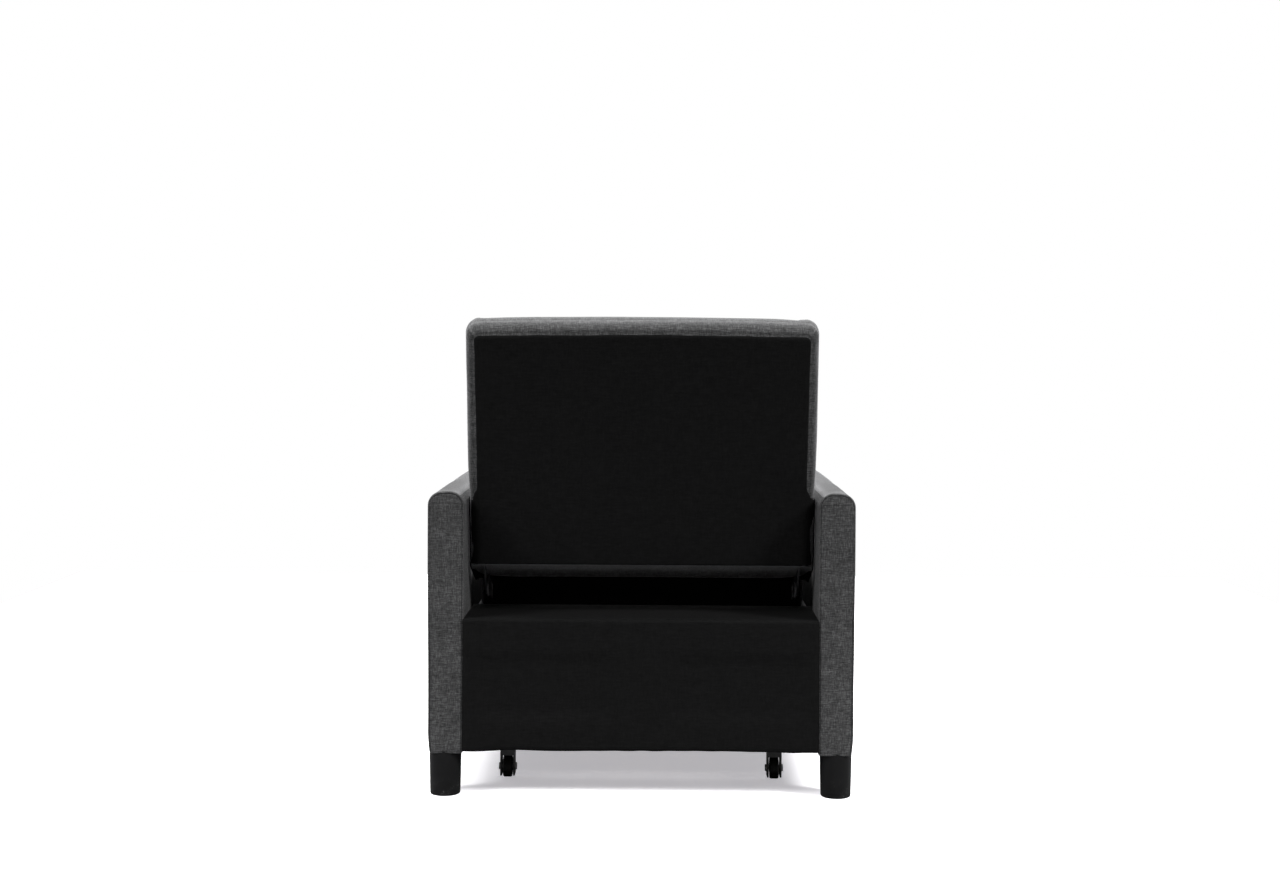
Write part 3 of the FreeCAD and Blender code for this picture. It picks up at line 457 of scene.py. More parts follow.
for node, o in frame["nodes"].items():
    o.data.materials.clear()
    # these inside parts get the darker zinc copy as painted shade
    inside = node.startswith(("ratchet_", "hinge_pins", "glide_block", "guide_rail"))
    o.data.materials.append(ZINC_PAINTED_SHADE if inside else MATS[slot_of[node]])
    o.data.polygons.foreach_set("use_smooth", [True] * len(o.data.polygons))
    if slot_of[node] in ("wood", "plywood"):
        bv = o.modifiers.new("eased", "BEVEL")
        bv.width = 0.0035 if node in ("rear_deck_board", "rear_rail_bottom") else 0.0012
        bv.segments = 2
        bv.limit_method = "ANGLE"
        bv.angle_limit = math.radians(40)
    es = o.modifiers.new("edges", "EDGE_SPLIT")
    es.split_angle = math.radians(32)


# ------------------------------------------------------------------- arms
ARM_X0, ARM_X1, ARM_Z0, ARM_Z1, ARM_R = 0.351, 0.421, 0.0848, 0.604, 0.0285
SEAM_IN, SEAM_OUT, SEAM_TOP = 0.0038, 0.0042, 0.0045     # how far the end panel's seam lies inside the arm's outline


def arm(side):
    tag = "l" if side > 0 else "r"
    x0, x1 = ARM_X0, ARM_X1
    z0, z1 = ARM_Z0, ARM_Z1
    yr, yf = RY, RY - 0.780
    R, Rf, rb = ARM_R, 0.070, 0.006
    ein = [0, 0.0005, 0.0011, 0.0018, 0.0026, 0.0033, 0.0038, 0.0043, 0.0050, 0.0062, 0.0080, 0.0105, 0.014]
    eout = [0, 0.0005, 0.0012, 0.0020, 0.0029, 0.0037, 0.0042, 0.0047, 0.0055, 0.0068, 0.0088, 0.0115, 0.015]
    etop = [0, 0.0004, 0.0009, 0.0015, 0.0023, 0.0031, 0.0038, 0.0045, 0.0051, 0.0060, 0.0075, 0.0100, 0.014]
    us = np.array([x0 + q for q in ein] + list(np.linspace(x0 + 0.018, x1 - 0.020, 6)) + [x1 - q for q in reversed(eout)])
    vs = np.array([z0 + q for q in etop] + list(np.linspace(z0 + 0.022, z1 - 0.036, 54)) + [z1 - q for q in (0.030, 0.0265, 0.0245, 0.0230, 0.0215, 0.0200, 0.0180)] + [z1 - q for q in reversed(etop)])
    ts = np.concatenate([np.linspace(yf + 0.006, yf + 0.10, 18), np.linspace(yf + 0.108, yr - 0.03, 76), np.linspace(yr - 0.024, yr - 0.0055, 7)])
    P, F, (I, J, K), n = grid_box(us, ts, vs)
    u, t, v = P[:, 0].copy(), P[:, 1].copy(), P[:, 2].copy()
    # distance inside the outline in units of the seam's inset there
    E = np.minimum.reduce([(u - x0) / SEAM_IN, (x1 - u) / SEAM_OUT, (z1 - v) / SEAM_TOP, (v - z0) / SEAM_TOP])
    D = np.minimum.reduce([u - x0, x1 - u, z1 - v, v - z0])
    rear, front = J == n[1] - 1, J == 0
    drop = 0.0045 * (1 - np.sqrt(np.clip(1 - np.clip(1 - E / 0.92, 0, 1) ** 2, 0, 1)))
    groove = 0.0013 * np.exp(-((E - 1.0) / 0.16) ** 2)
    crown = 0.0024 * smooth(D, 0.004, 0.034)
    S = np.stack([u, v, np.zeros_like(u)], 1)
    pucker = 0.00035 * vnoise(S, (110, 110, 1), 3) * np.exp(-((D - 0.005) / 0.010) ** 2)
    wave = 0.0008 * vnoise(S, (14, 9, 1), 5) * smooth(D, 0.005, 0.02)
    # the band's seam allowance shows through across the panel's top
    across = 0.0006 * np.exp(-((z1 - v - 0.0215) / 0.0016) ** 2) - 0.0005 * np.exp(-((z1 - v - 0.0245) / 0.0018) ** 2)
    cap = -drop - groove + crown + pucker * (E > 0.5) + wave + across * smooth(np.minimum(u - x0, x1 - u), 0.004, 0.009)
    t = np.where(rear, yr - 0.0010 + cap, t)
    # the front panel's seam is flatter where it goes round the front top corner
    t = np.where(front, yf + 0.0010 - cap * (1 - 0.72 * smooth(v, z1 - Rf - 0.025, z1 - Rf + 0.010)), t)
    # outline: arched top, small turn at the bottom edge
    for cu, su in ((x0, 1), (x1, -1)):
        u, v = round_corner(u, v, cu + su * R, z1 - R, -su, 1, R)
        u, v = round_corner(u, v, cu + su * rb, z0 + rb, -su, -1, rb)
    # the band's swell on the open side and the pull towards the staples underneath
    band = ~(rear | front)
    xc = (x0 + x1) / 2
    outer = smooth(u, xc, x1)
    low = np.exp(-((v - z0) / 0.022) ** 2)
    ends = np.minimum(yr - t, t - yf)
    Q = np.stack([u * 0, t, v], 1)
    swell = 0.0010 * vnoise(Q, (1, 5, 6), 11) + 0.0005 * vnoise(Q, (1, 16, 19), 12)
    u = u + outer * (-0.0030 * low + swell * smooth(ends, 0.0, 0.05) + 0.0024 * smooth(v, z0 + 0.05, z1 - 0.08))
    u = u - outer * band * 0.0008 * np.exp(-((ends - 0.016) / 0.006) ** 2)
    v = v + np.where(v > z1 - R, 0.0009 * vnoise(np.stack([u, t, t * 0], 1), (20, 9, 1), 21) * smooth(ends, 0, 0.05), 0)
    # front top corner
    t, v = round_corner(t, v, yf + Rf, z1 - Rf, -1, 1, Rf)
    u = side * u
    if side < 0:
        F = F[:, ::-1]
    o = mesh_object("arm_cover_" + tag, np.stack([u, t, v], 1), F, LINEN)
    o.data.materials.append(LINEN_SHADED)
    o.data.materials.append(BLACK_LINING_AND_SHADE)
    for f in o.data.polygons:
        if f.normal.x * side < -0.70 and abs(f.normal.y) < 0.3:      # painted shade: the inner faces, in the back's shadow, get the darker linen without sheen
            f.material_index = 1
            if RY - 0.430 < f.center.y < RY - 0.168 and 0.300 < f.center.z < 0.434:
                f.material_index = 2                                  # painted shade: black cloth on the inner face ahead of the rear deck, beside the seat, where it lies in deep shadow
    sub = o.modifiers.new("sub", "SUBSURF")
    sub.levels = sub.render_levels = 1
    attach(o, "base")
    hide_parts("arm_upholstery_" + tag)
    seam_line(side, tag)
    return o


def tube(name, pts, r, mat, closed=False, sides=6):
    """Round cord of radius r along pts."""
    pts = [Vector(p) for p in pts]
    n = len(pts)
    P, F = [], []
    last = None
    for i, p in enumerate(pts):
        a = pts[(i - 1) % n] if (closed or i) else p
        b_ = pts[(i + 1) % n] if (closed or i < n - 1) else p
        d = (b_ - a).normalized()
        ref = last if last is not None else (Vector((0, 1, 0)) if abs(d.y) < 0.9 else Vector((1, 0, 0)))
        x = (ref - d * ref.dot(d)).normalized()
        last = x
        y = d.cross(x)
        for k in range(sides):
            an = 2 * math.pi * k / sides
            P.append(p + (x * math.cos(an) + y * math.sin(an)) * r)
    m = n if closed else n - 1
    for i in range(m):
        for k in range(sides):
            a0, a1 = i * sides + k, i * sides + (k + 1) % sides
            b0, b1 = ((i + 1) % n) * sides + k, ((i + 1) % n) * sides + (k + 1) % sides
            F.append((a0, b0, b1, a1))
    if not closed:
        F.append(tuple(range(sides)))
        F.append(tuple((n - 1) * sides + k for k in reversed(range(sides))))
    o = mesh_object(name, P, F, mat)
    return o


def seam_line(side, tag):
    """The stitched seam round the rear end panel, sunk in its groove; its near-black colour is painted shade for the
    groove's shadow.
    """
    xa, xb, top, R = ARM_X0 + SEAM_IN, ARM_X1 - SEAM_OUT, ARM_Z1 - SEAM_TOP, ARM_R - 0.0045
    z_low = ARM_Z0 + 0.004
    pts = [(xb - 0.0006 * math.exp(-((z - ARM_Z0) / 0.022) ** 2) * 4, z) for z in np.linspace(z_low, top - R, 60)]
    pts += [(xb - R + R * math.cos(a), top - R + R * math.sin(a)) for a in np.linspace(0.1, math.pi / 2, 12)]
    pts += [(xa + R - R * math.sin(a), top - R + R * math.cos(a)) for a in np.linspace(0.0, math.pi / 2, 13)]
    pts += [(xa, z) for z in np.linspace(top - R - 0.008, z_low, 60)]
    o = tube("arm_seam_" + tag, [(side * x, RY - 0.0024, z) for x, z in pts], 0.00105, SEAM_THREAD_SHADE)
    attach(o, "base")


for side in (1, -1):
    arm(side)


# -------------------------------------------------------------------- back
def back_world(x, n, v):
    """Back coordinates (across, thickness rearward, up the lean) to the row frame."""
    c, s = math.cos(LEAN), math.sin(LEAN)
    y = HINGE.y + n * c + v * s
    z = HINGE.z - n * s + v * c
    return np.stack([x, y, z], 1)


B_HALF, B_TOP = 0.3460, 0.5610
B_N0, B_N1 = -0.072, 0.0450
B_RC = 0.023
B_R_SIDE, B_R_TOP, B_R_FRONT = 0.0220, 0.0300, 0.042     # roundings towards the rear face, and of the front
P_HALF, P_TOP, P_RC = 0.3325, 0.5415, 0.014                # the black panel's outline


def bottom_v(n):
    """The slanted underside, from the front's lower edge up to the rear's."""
    return -0.018 + (0.063 + 0.018) * np.clip((n - B_N0) / (0.044 - B_N0), 0, 1.1)


def rear_drop(u, v):
    """How far the rear face falls away towards the sides and the top; the two meet in a mitre."""
    return np.maximum(fillet(np.minimum(u + B_HALF, B_HALF - u), B_R_SIDE), fillet(B_TOP - v, B_R_TOP))


def outside_panel(u, v):
    """Distance outside the black panel's outline, less than 0 within it."""
    a, b = np.abs(u) - (P_HALF - P_RC), v - (P_TOP - P_RC)
    return np.hypot(np.maximum(a, 0), np.maximum(b, 0)) + np.minimum(np.maximum(a, b), 0) - P_RC


def back():
    us = fine(-B_HALF, B_HALF, 0.010, B_R_FRONT, B_R_FRONT, (0.004, 0.009))
    base_v = -0.018
    vs = fine(base_v, B_TOP, 0.010, 0.010, B_R_FRONT, (0.004, 0.009))
    t0 = B_N0 + B_R_FRONT
    ts = np.linspace(t0, B_N1 - B_R_SIDE, 9)
    P, F, (I, J, K), n = grid_box(us, ts, vs)
    u, t, v = P[:, 0].copy(), P[:, 1].copy(), P[:, 2].copy()
    rear, front = J == n[1] - 1, J == 0
    bottom = v - base_v
    D = np.minimum.reduce([u + B_HALF, B_HALF - u, B_TOP - v])
    Db = np.minimum(D, bottom)
    lim = rear_drop(u, v)
    t = np.where(rear, B_N1 - lim, np.where(front, t, t0 + (t - t0) * (B_N1 - lim - t0) / (B_N1 - B_R_SIDE - t0)))
    # front: soft crown, pulled in at the corners
    W = np.clip((u / B_HALF), -1, 1)
    H = np.clip((v - base_v) / (B_TOP - base_v), 0, 1)
    crown = 0.004 * (1 - W ** 4) * np.clip(1 - (2 * H - 1) ** 4, 0, 1)
    S = np.stack([u, v, v * 0], 1)
    crown = crown + 0.0012 * vnoise(S, (7, 7, 1), 31) * smooth(D, 0.02, 0.08)
    t = np.where(front, B_N0 + fillet(Db, B_R_FRONT) * np.where(bottom < D, 0.35, 1.0) - crown, t)
    # outline corners
    for su in (-1, 1):
        u, v = round_corner(u, v, su * (B_HALF - B_RC), B_TOP - B_RC, su, 1, B_RC)
    # the sewn-in panel pulls the band down round itself, and the band rolls over beside it
    sd = outside_panel(u, v)
    t = t - np.where(rear, 0.0011 * np.exp(-((sd - 0.0004) / 0.0022) ** 2) - 0.0006 * np.exp(-((sd - 0.0060) / 0.0035) ** 2), 0)
    # crowned top edge and slightly bowed sides
    top_lift = 0.0050 * (1 - (u / B_HALF) ** 2) * smooth(v, B_TOP - 0.10, B_TOP)
    bow = 0.0016 * smooth(np.abs(u), B_HALF - 0.05, B_HALF) * np.sin(np.clip(H, 0, 1) * math.pi)
    v = v + top_lift
    mid = ~(rear | front)
    tt = (t - B_N0) / (B_N1 - B_N0)
    between = smooth(v, 0.200, 0.270)          # held flat between the arms
    u = u + np.sign(u) * between * (bow + 0.0022 * mid * smooth(np.abs(u), B_HALF - 0.05, B_HALF) * np.sin(np.clip(tt, 0, 1) * math.pi))
    v = v + 0.0022 * mid * smooth(v, B_TOP - 0.04, B_TOP) * np.sin(np.clip(tt, 0, 1) * math.pi)
    Q = np.stack([u, t * 2, v], 1)
    v = v + 0.0009 * vnoise(Q, (11, 20, 2), 41) * smooth(v, B_TOP - 0.06, B_TOP)
    u = u + 0.0007 * vnoise(Q, (2, 20, 13), 42) * smooth(np.abs(u), B_HALF - 0.05, B_HALF)
    # slanted underside
    span = (v - base_v) / (B_TOP - base_v)
    v = np.where(v < 0.2, bottom_v(t) + (0.2 - bottom_v(t)) * (v - base_v) / (0.2 - base_v), v)
    o = mesh_object("back_cover", back_world(u, t, v), F, LINEN)
    c, s = math.cos(LEAN), math.sin(LEAN)

    def depth(X):
        return (X[:, 1] - HINGE.y) * c - (X[:, 2] - HINGE.z) * s

    puff(o, lambda X: smooth(-depth(X), -0.012, 0.034), lambda X: depth(X) > 0.010, cap=0.013)
    sub = o.modifiers.new("sub", "SUBSURF")
    sub.levels = sub.render_levels = 1
    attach(o, "back")
    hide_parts("back_cushion")
    return o


back_cover = back()


def rear_panel():
    """Black cloth over the back's rear face, round its lower edge and along the slanted underside."""
    half, v1, rc = P_HALF, P_TOP, P_RC
    v0, n0 = 0.0645, 0.0461
    us = fine(-half, half, 0.008, rc, rc, (0.003,))
    top = fine(v0 + 0.004, v1, 0.008, 0.0, rc, (0.003,))[::-1]
    d2 = np.array([-0.820, -0.573])
    r = 0.0065
    turn = math.radians(55)
    tl = r * math.tan(turn / 2)
    path, kind = [], []
    for v in top:
        path.append((n0, v))
        kind.append(0)
    c = np.array([n0 - r, v0 + tl])
    for k in range(1, 8):
        a = turn * k / 8
        path.append((c[0] + r * math.cos(a), c[1] - r * math.sin(a)))
        kind.append(1)
    start = np.array([n0, v0]) + d2 * tl
    for s_ in np.linspace(0.0, 0.118, 16):
        q = start + d2 * s_
        path.append((q[0], q[1]))
        kind.append(2)
    path = np.array(path)
    kind = np.array(kind)
    nu, npt = len(us), len(path)
    u = np.repeat(us[:, None], npt, 1).ravel()
    n_ = np.repeat(path[None, :, 0], nu, 0).ravel()
    v = np.repeat(path[None, :, 1], nu, 0).ravel()
    kd = np.repeat(kind[None, :], nu, 0).ravel()
    flat = kd == 0
    D = np.where(flat, np.minimum.reduce([u + half, half - u, v1 - v]), np.minimum(u + half, half - u))
    for su in (-1, 1):
        u2, v2 = round_corner(u, v, su * (half - rc), v1 - rc, su, 1, rc)
        u, v = np.where(flat, u2, u), np.where(flat, v2, v)
    lift = 0.0050 * (1 - (u / B_HALF) ** 2) * smooth(v, B_TOP - 0.10, B_TOP)
    # painted shade: between the arms and round the lower edge the black cloth is widened over the back's side corners,
    # which lie in the arms' shadow
    shade_wrap = np.where(flat, 1 - smooth(v, 0.196, 0.226), 1.0)
    u = u * (1 + shade_wrap * (B_HALF + 0.0026 - half) / half)
    su_, sv_ = u, v
    for su in (-1, 1):
        su_, sv_ = square_corner(su_, sv_, su * (B_HALF - B_RC), B_TOP - B_RC, su, 1)
    fall = rear_drop(np.clip(su_, 0.0002 - B_HALF, B_HALF - 0.0002), np.where(flat, sv_, 0.2))
    turned = np.where(flat, 0.0, np.where(kd == 2, 1.0, 0.5))
    S = np.stack([u, v, v * 0], 1)
    slack = 0.0006 * vnoise(S, (4, 5, 1), 52) + 0.0003 * vnoise(S, (13, 11, 1), 53) - 0.0003
    edge = 0.0003 * vnoise(S, (30, 30, 1), 54) * np.exp(-(D / 0.012) ** 2)
    out = slack * smooth(D, 0.0, 0.05) + edge - 0.0028 * np.exp(-(D / 0.0036) ** 2)
    out = np.where(flat, out * smooth(v, v0, v0 + 0.03), 0)
    n_ = n_ - fall + out
    v = v + np.where(flat, lift, 0) - 0.698 * fall * turned
    idx = np.arange(nu * npt).reshape(nu, npt)
    a, b_, c, d = idx[:-1, :-1].ravel(), idx[1:, :-1].ravel(), idx[1:, 1:].ravel(), idx[:-1, 1:].ravel()
    o = mesh_object("back_rear_cloth", back_world(u, n_, v), np.stack([a, b_, c, d], 1), BLACK)
    so = o.modifiers.new("thick", "SOLIDIFY")
    so.thickness = 0.0011
    so.offset = -1
    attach(o, "back")
    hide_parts("back_rear_cover")
    return o


rear_panel()


def loop(a0, a1, b0, b1, r, step=0.006):
    """Closed line round a rectangle with rounded corners."""
    out = []
    for (ca, cb, start), (na, nb) in zip(((a1 - r, b1 - r, 0.0), (a0 + r, b1 - r, 90.0), (a0 + r, b0 + r, 180.0), (a1 - r, b0 + r, 270.0)),
                                         ((a0 + r, b1), (a0, b0 + r), (a1 - r, b0), (a1, b1 - r))):
        for k in range(9):
            an = math.radians(start + 90.0 * k / 8)
            out.append((ca + r * math.cos(an), cb + r * math.sin(an)))
        la, lb = out[-1]
        n = max(1, int(math.hypot(na - la, nb - lb) / step))
        out += [(la + (na - la) * i / n, lb + (nb - lb) * i / n) for i in range(1, n)]
    return out


def welt(name, target, start, toward, body, r=0.0020):
    """Fabric piping round a cushion's edge, let a little way into its cover. It falls from start along toward."""
    tree = BVHTree.FromObject(target, bpy.context.evaluated_depsgraph_get())
    pts = []
    for q in start:
        hit, nor, _, _ = tree.ray_cast(Vector(q), Vector(toward))
        if hit is not None:
            if nor.dot(Vector(toward)) > 0:
                nor = -nor
            pts.append(hit + nor * (r * 0.35))
    for _ in range(3):
        pts = [(pts[i - 1] + pts[i] * 2 + pts[(i + 1) % len(pts)]) / 4 for i in range(len(pts))]
    o = tube(name, pts, r, LINEN, closed=True, sides=8)
    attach(o, body)
    return o


fwd = Vector((0, math.cos(LEAN), -math.sin(LEAN)))
line = loop(-B_HALF + 0.015, B_HALF - 0.015, -0.006, B_TOP - 0.012, 0.034)
ends = back_world(np.array([q[0] for q in line]), np.full(len(line), -0.16), np.array([q[1] for q in line]))
welt("back_piping", back_cover, ends, fwd, "back")


# ---------------------------------------------- black cloth of the rear box
def box_cloth():
    """One cloth: over the deck, round its rear edge, down the rear wall and turned under."""
    z_top, z_low = 0.3525, 0.0925
    R = 0.0070
    yo = RY + 0.0004
    path = []
    y0 = RY - 0.1980
    for z in (0.3365, 0.3400, 0.3440, 0.3475):
        path.append((y0 - 0.0028, z, -1.0, 0.0, 5))
    for k in range(1, 4):
        a = math.pi / 2 * k / 4
        path.append((y0 - 0.0028 * math.cos(a), z_top - 0.0028 + 0.0028 * math.sin(a), -math.cos(a), math.sin(a), 5))
    L1 = yo - R - y0
    for s_ in np.linspace(0, L1, 26):
        path.append((y0 + s_, z_top, 0.0, 1.0, 0))
    for k in range(1, 8):
        a = math.pi / 2 * k / 8
        path.append((yo - R + R * math.sin(a), z_top - R + R * math.cos(a), math.sin(a), math.cos(a), 1))
    for s_ in np.linspace(0, z_top - R - z_low - 0.0035, 40):
        path.append((yo, z_top - R - s_, 1.0, 0.0, 2))
    for k in range(1, 6):
        a = math.pi / 2 * k / 5
        path.append((yo - 0.0035 + 0.0035 * math.cos(a), z_low + 0.0035 - 0.0035 * math.sin(a), math.cos(a), -math.sin(a), 3))
    for s_ in np.linspace(0.004, 0.016, 4):
        path.append((yo - 0.0035 - s_, z_low, 0.0, -1.0, 4))
    path = np.array(path)
    half = 0.3522
    us = fine(-half, half, 0.008, 0.006, 0.006, (0.003,))
    nu, npth = len(us), len(path)
    U = np.repeat(us[:, None], npth, 1).ravel()
    Y, Z, NY, NZ, KD = (np.repeat(path[None, :, i], nu, 0).ravel() for i in range(5))
    De = np.minimum(U + half, half - U)
    S = np.stack([U, Y * 0.7, Z], 1)
    # it sags in between the rails, stud and ends, and lies proud of them where they carry it
    hollow = smooth(Z, 0.140, 0.175) * (1 - smooth(Z, 0.262, 0.293)) * smooth(np.abs(U), 0.036, 0.085) * smooth(De, 0.0, 0.05)
    ripple = 0.5 + 0.5 * (0.5 * vnoise(S, (5, 5, 9), 61) + 0.3 * vnoise(S, (15, 5, 6), 62) + 0.2 * vnoise(S, (40, 10, 12), 63))
    d = 0.0016 * ripple * np.where(KD <= 2, 1, 0) - 0.0036 * hollow * (0.6 + 0.8 * ripple)
    d = d * np.where(KD == 0, 0.2, 1.0) * smooth(De, -0.002, 0.010)
    Y = Y + NY * d
    Z = Z + NZ * d
    # uneven lower edge, a little lower near its ends
    w = smooth(z_low + 0.035 - Z, 0.0, 0.035)
    edge = (0.0011 * vnoise(S, (8, 1, 0.5), 64) + 0.0006 * vnoise(S, (37, 1, 0.5), 65) - 0.0034 * np.exp(-((U - half + 0.020) / 0.060) ** 2)
            - 0.0010 * np.exp(-((half + U - 0.06) / 0.05) ** 2))
    Z = Z + edge * w
    idx = np.arange(nu * npth).reshape(nu, npth)
    a, b_, c, dd = idx[:-1, :-1].ravel(), idx[1:, :-1].ravel(), idx[1:, 1:].ravel(), idx[:-1, 1:].ravel()
    o = mesh_object("rear_box_cloth", np.stack([U, Y, Z], 1), np.stack([a, b_, c, dd], 1), BLACK_LINING_AND_SHADE)
    so = o.modifiers.new("thick", "SOLIDIFY")
    so.thickness = 0.0010
    so.offset = -1
    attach(o, "base")
    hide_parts("rear_cover", "deck_cover")
    return o


box_cloth()


# -------------------------------------------------------- seat, leg rest
def cushion(name, lo, hi, up, r_top, r_low, corner, crown, body, nodes, mat=None, step=0.010, seed=70, side_swell=0.003, lined=False, held=None, keep=None, cap=0.012):
    """Box cushion. up is the axis (1 = y, 2 = z) and sign of its crowned face."""
    ax, sg = up
    lo, hi = np.array(lo, float), np.array(hi, float)
    other = [1, 2][ax == 1]
    a0, a1 = (lo[ax], hi[ax]) if sg > 0 else (-hi[ax], -lo[ax])
    us = fine(lo[0], hi[0], step, r_top, r_top, (0.003, 0.007))
    vs = fine(lo[other], hi[other], step, r_top, r_top, (0.003, 0.007))
    ts = np.linspace(a0 + r_low, a1 - r_top, max(4, int((a1 - a0 - r_low - r_top) / 0.009) + 2))
    P, F, (I, J, K), n = grid_box(us, ts, vs)
    u, t, v = P[:, 0].copy(), P[:, 1].copy(), P[:, 2].copy()
    lowc, topc = J == 0, J == n[1] - 1
    D = np.minimum.reduce([u - lo[0], hi[0] - u, v - lo[other], hi[other] - v])
    W = (u - (lo[0] + hi[0]) / 2) / ((hi[0] - lo[0]) / 2)
    H = (v - (lo[other] + hi[other]) / 2) / ((hi[other] - lo[other]) / 2)
    S = np.stack([u, v, v * 0], 1)
    swell = crown * (1.0 if (held is None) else 0.3) * (1 - np.abs(W) ** 3.2) * (1 - np.abs(H) ** 3.2)
    seam = 0.0013 * np.exp(-((D - r_top - 0.001) / 0.0013) ** 2)
    ripple = 0.0012 * vnoise(S, (9, 9, 1), seed) * smooth(D, 0.01, 0.06) + 0.0006 * vnoise(S, (45, 45, 1), seed + 1) * np.exp(-((D - r_top) / 0.014) ** 2)
    t = np.where(topc, a1 - fillet(D, r_top) + swell - seam + ripple, t)
    t = np.where(lowc, a0 + fillet(D, r_low), t)
    for su, cu in ((-1, lo[0] + corner), (1, hi[0] - corner)):
        for sv, cv in ((-1, lo[other] + corner), (1, hi[other] - corner)):
            u, v = round_corner(u, v, cu, cv, su, sv, corner)
    mid = ~(lowc | topc)
    tt = np.clip((t - a0) / (a1 - a0), 0, 1)
    g = np.sin(tt * math.pi)
    u = u + mid * side_swell * g * np.sign(W) * smooth(np.abs(W), 0.9, 1.0) * (1 - np.abs(H) ** 4)
    v = v + mid * side_swell * g * np.sign(H) * smooth(np.abs(H), 0.9, 1.0) * (1 - np.abs(W) ** 4)
    t = t * sg
    if ax == 2:
        X = np.stack([u, v, t], 1)
        flip = True
    else:
        X = np.stack([u, t, v], 1)
        flip = False
    if sg < 0:
        flip = not flip
    if flip:
        F = F[:, ::-1]
    o = mesh_object(name, X, F, mat or LINEN)
    if lined:
        # the side that the cushion is fixed by is closed with black lining
        o.data.materials.append(BLACK_LINING_AND_SHADE)
        for f in o.data.polygons:
            if f.normal[ax] * sg < -0.8:
                f.material_index = 1
    if held is not None:
        puff(o, keep, held, cap=cap)
    sub = o.modifiers.new("sub", "SUBSURF")
    sub.levels = sub.render_levels = 1
    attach(o, body)
    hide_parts(*nodes)
    return o


slo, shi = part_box("seat_cushion")
seat = cushion("seat_cover", (slo.x - 0.004, slo.y - 0.0045, slo.z + 0.001), (shi.x + 0.004, shi.y, shi.z - 0.004), (2, 1), 0.018, 0.006, 0.030, 0.012, "seat", ["seat_cushion"],
               held=lambda X: (X[:, 2] < slo.z + 0.010) | (X[:, 1] > shi.y - 0.004),
               keep=lambda X: smooth(X[:, 2], slo.z + 0.010, slo.z + 0.040) * smooth(shi.y - X[:, 1], 0.003, 0.030)
               * (1 - smooth(slo.y + 0.030 - X[:, 1], 0.0, 0.028) * (1 - smooth(X[:, 2], 0.404, 0.436)))
               * (1 - smooth(np.abs(X[:, 0]), 0.322, 0.338) * (1 - smooth(X[:, 2], 0.420, 0.450)) * 0.7), cap=0.012)
llo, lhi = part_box("legrest_pad")
blo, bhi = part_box("legrest_board")
leg = cushion("legrest_cover", (llo.x + 0.002, llo.y + 0.003, llo.z), (lhi.x - 0.002, bhi.y, lhi.z - 0.001), (1, -1), 0.014, 0.002, 0.014, 0.006, "legrest", ["legrest_pad", "legrest_board"], seed=80,
              side_swell=0.001, lined=True, held=lambda X: X[:, 1] > llo.y + 0.045, keep=lambda X: smooth(llo.y + 0.044 - X[:, 1], 0.0, 0.020) * smooth(0.3265 - np.abs(X[:, 0]), 0.0, 0.012), cap=0.006)
flo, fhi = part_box("flap_pad")
glo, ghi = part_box("flap_board")
flap = cushion("flap_cover", (flo.x + 0.002, glo.y, flo.z), (fhi.x - 0.002, fhi.y - 0.002, fhi.z), (1, 1), 0.012, 0.002, 0.014, 0.005, "flap", ["flap_pad", "flap_board"], seed=90,
               side_swell=0.001, lined=True, held=lambda X: X[:, 1] < fhi.y - 0.040, keep=lambda X: smooth(X[:, 1] - fhi.y + 0.040, 0.0, 0.020) * smooth(0.3215 - np.abs(X[:, 0]), 0.0, 0.012), cap=0.005)


welt("seat_piping", seat, [(x, y, shi.z + 0.1) for x, y in loop(slo.x + 0.008, shi.x - 0.008, slo.y + 0.007, shi.y - 0.012, 0.024)], (0, 0, -1), "seat")
welt("legrest_piping", leg, [(x, llo.y - 0.08, z) for x, z in loop(llo.x + 0.008, lhi.x - 0.008, llo.z + 0.007, lhi.z - 0.008, 0.012)], (0, 1, 0), "legrest", 0.0017)
welt("flap_piping", flap, [(x, fhi.y + 0.08, z) for x, z in loop(flo.x + 0.008, fhi.x - 0.008, flo.z + 0.007, fhi.z - 0.007, 0.012)], (0, -1, 0), "flap", 0.0016)


def seat_rear_cloth():
    """Black cloth on the seat's rear face, seen through the gap under the back."""
    half = 0.3315
    z0, z1 = 0.346, 0.441
    y = RY - 0.222 + 0.0036
    us = np.linspace(-half, half, 84)
    vs = np.linspace(z0, z1, 12)
    U, V = np.meshgrid(us, vs, indexing="ij")
    u, v = U.ravel(), V.ravel()
    S = np.stack([u, v, v * 0], 1)
    D = np.minimum.reduce([u + half, half - u, v - z0, z1 - v])
    yy = y + 0.0006 * vnoise(S, (13, 20, 1), 101) * smooth(D, 0, 0.02) - 0.0008 * np.exp(-(D / 0.004) ** 2)
    idx = np.arange(len(us) * len(vs)).reshape(len(us), len(vs))
    a, b_, c, d = idx[:-1, :-1].ravel(), idx[1:, :-1].ravel(), idx[1:, 1:].ravel(), idx[:-1, 1:].ravel()
    o = mesh_object("seat_rear_cloth", np.stack([u, yy, v], 1), np.stack([a, d, c, b_], 1), BLACK_LINING_AND_SHADE)
    so = o.modifiers.new("thick", "SOLIDIFY")
    so.thickness = 0.0010
    so.offset = -1
    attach(o, "seat")


seat_rear_cloth()

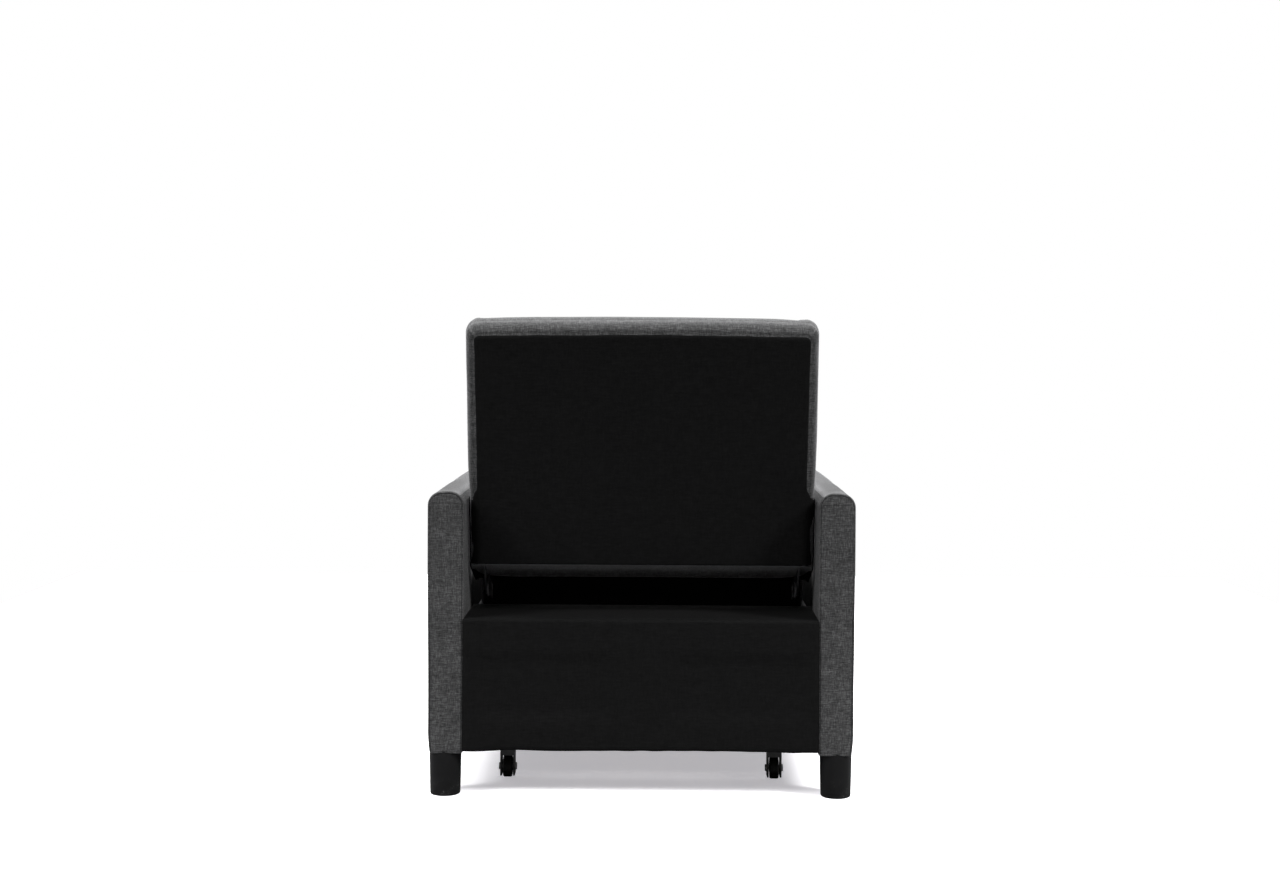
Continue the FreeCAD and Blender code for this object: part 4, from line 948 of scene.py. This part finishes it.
# --------------------------------------------------------- floor and light
# light table: the floor glows a little, so the shade under the chair stays pale
fm, nt, b = node_mat("studio_floor")
tcf = nt.nodes.new("ShaderNodeTexCoord")
nf = N(nt, "ShaderNodeTexNoise", in_Scale=3.0, in_Detail=2.0)
nt.links.new(tcf.outputs["Object"], nf.inputs["Vector"])
nt.links.new(mix_color(nt, nf.outputs["Fac"], (0.882, 0.88, 0.888), (0.90, 0.895, 0.905)), b.inputs["Base Color"])
b.inputs["Roughness"].default_value = 0.9
b.inputs["Specular IOR Level"].default_value = 0.0
b.inputs["Emission Color"].default_value = (0.99, 0.975, 1.03, 1)
b.inputs["Emission Strength"].default_value = 0.42
lpf = nt.nodes.new("ShaderNodeLightPath")
dim = nt.nodes.new("ShaderNodeBsdfDiffuse")
nt.links.new(mix_color(nt, nf.outputs["Fac"], (0.30, 0.30, 0.305), (0.33, 0.33, 0.335)), dim.inputs["Color"])
mxf = nt.nodes.new("ShaderNodeMixShader")
outf = next(n for n in nt.nodes if n.type == "OUTPUT_MATERIAL")
nt.links.new(lpf.outputs["Is Camera Ray"], mxf.inputs[0])
nt.links.new(dim.outputs[0], mxf.inputs[1])
nt.links.new(b.outputs[0], mxf.inputs[2])
nt.links.new(mxf.outputs[0], outf.inputs[0])
fl = mesh_object("studio_floor", [(-2.2, -3.0, 0), (2.2, -3.0, 0), (2.2, 1.3, 0), (-2.2, 1.3, 0)], [(0, 1, 2, 3)], fm, False)

# studio walls: pale ahead of the chair, dim behind the camera
world = bpy.data.worlds.new("studio")
scene.world = world
world.use_nodes = True
wn = world.node_tree
wn.nodes.clear()
wo = wn.nodes.new("ShaderNodeOutputWorld")
bg1 = wn.nodes.new("ShaderNodeBackground")
wtc = wn.nodes.new("ShaderNodeTexCoord")
wsp = wn.nodes.new("ShaderNodeSeparateXYZ")
wn.links.new(wtc.outputs["Generated"], wsp.inputs[0])
ahead = ramp(wn, math_node(wn, "ADD", math_node(wn, "MULTIPLY", wsp.outputs[1], -0.5), 0.5), [(0.30, (0.085, 0.085, 0.085)), (0.75, (0.80, 0.80, 0.80))])
wn.links.new(ahead, bg1.inputs[0])
bg1.inputs[1].default_value = 1.0
bg2 = wn.nodes.new("ShaderNodeBackground")
bg2.inputs[0].default_value = (1, 1, 1, 1)
bg2.inputs[1].default_value = 1.0
lp = wn.nodes.new("ShaderNodeLightPath")
mx = wn.nodes.new("ShaderNodeMixShader")
wn.links.new(lp.outputs["Is Camera Ray"], mx.inputs[0])
wn.links.new(bg1.outputs[0], mx.inputs[1])
wn.links.new(bg2.outputs[0], mx.inputs[2])
wn.links.new(mx.outputs[0], wo.inputs[0])



def sun(name, toward, energy, angle):
    """Large soft source far away. toward points from the chair to the light."""
    d = bpy.data.lights.new(name, "SUN")
    d.energy = energy
    d.angle = math.radians(angle)
    o = bpy.data.objects.new(name, d)
    scene.collection.objects.link(o)
    o.rotation_mode = "QUATERNION"
    o.rotation_quaternion = Vector(toward).to_track_quat("Z", "Y")
    return o


sun("ceiling_soft", (0.0, -0.38, 1.0), 9.6, 62)
sun("box_right", (-0.681, 0.409, 0.606), 3.9, 14)
sun("box_left", (0.681, 0.409, 0.606), 3.5, 22)

# ------------------------------------------------------------------ camera
cam_d = bpy.data.cameras.new("camera")
cam = bpy.data.objects.new("camera", cam_d)
scene.collection.objects.link(cam)
scene.camera = cam
cam_d.sensor_width = 36.0
cam_d.lens = 36.0 * 1778.0 / 1280.0
cam_d.clip_end = 100
CX, CD, CZ, YAW, ROLL = -0.0290, 3.510, 0.897, 0.55, 0.30
cam_d.shift_y = -97.0 / 1280.0          # the photograph's uprights are parallel and its horizon is 97 px above the middle
cam.location = (CX, RY + CD, CZ)
rot = Matrix.Rotation(math.radians(180 + YAW), 3, "Z") @ Matrix.Rotation(math.radians(90), 3, "X") @ Matrix.Rotation(math.radians(ROLL), 3, "Z")
cam.rotation_mode = "QUATERNION"
cam.rotation_quaternion = rot.to_quaternion()

scene.view_settings.view_transform = "Standard"
scene.view_settings.look = "None"
scene.view_settings.exposure = 0.0
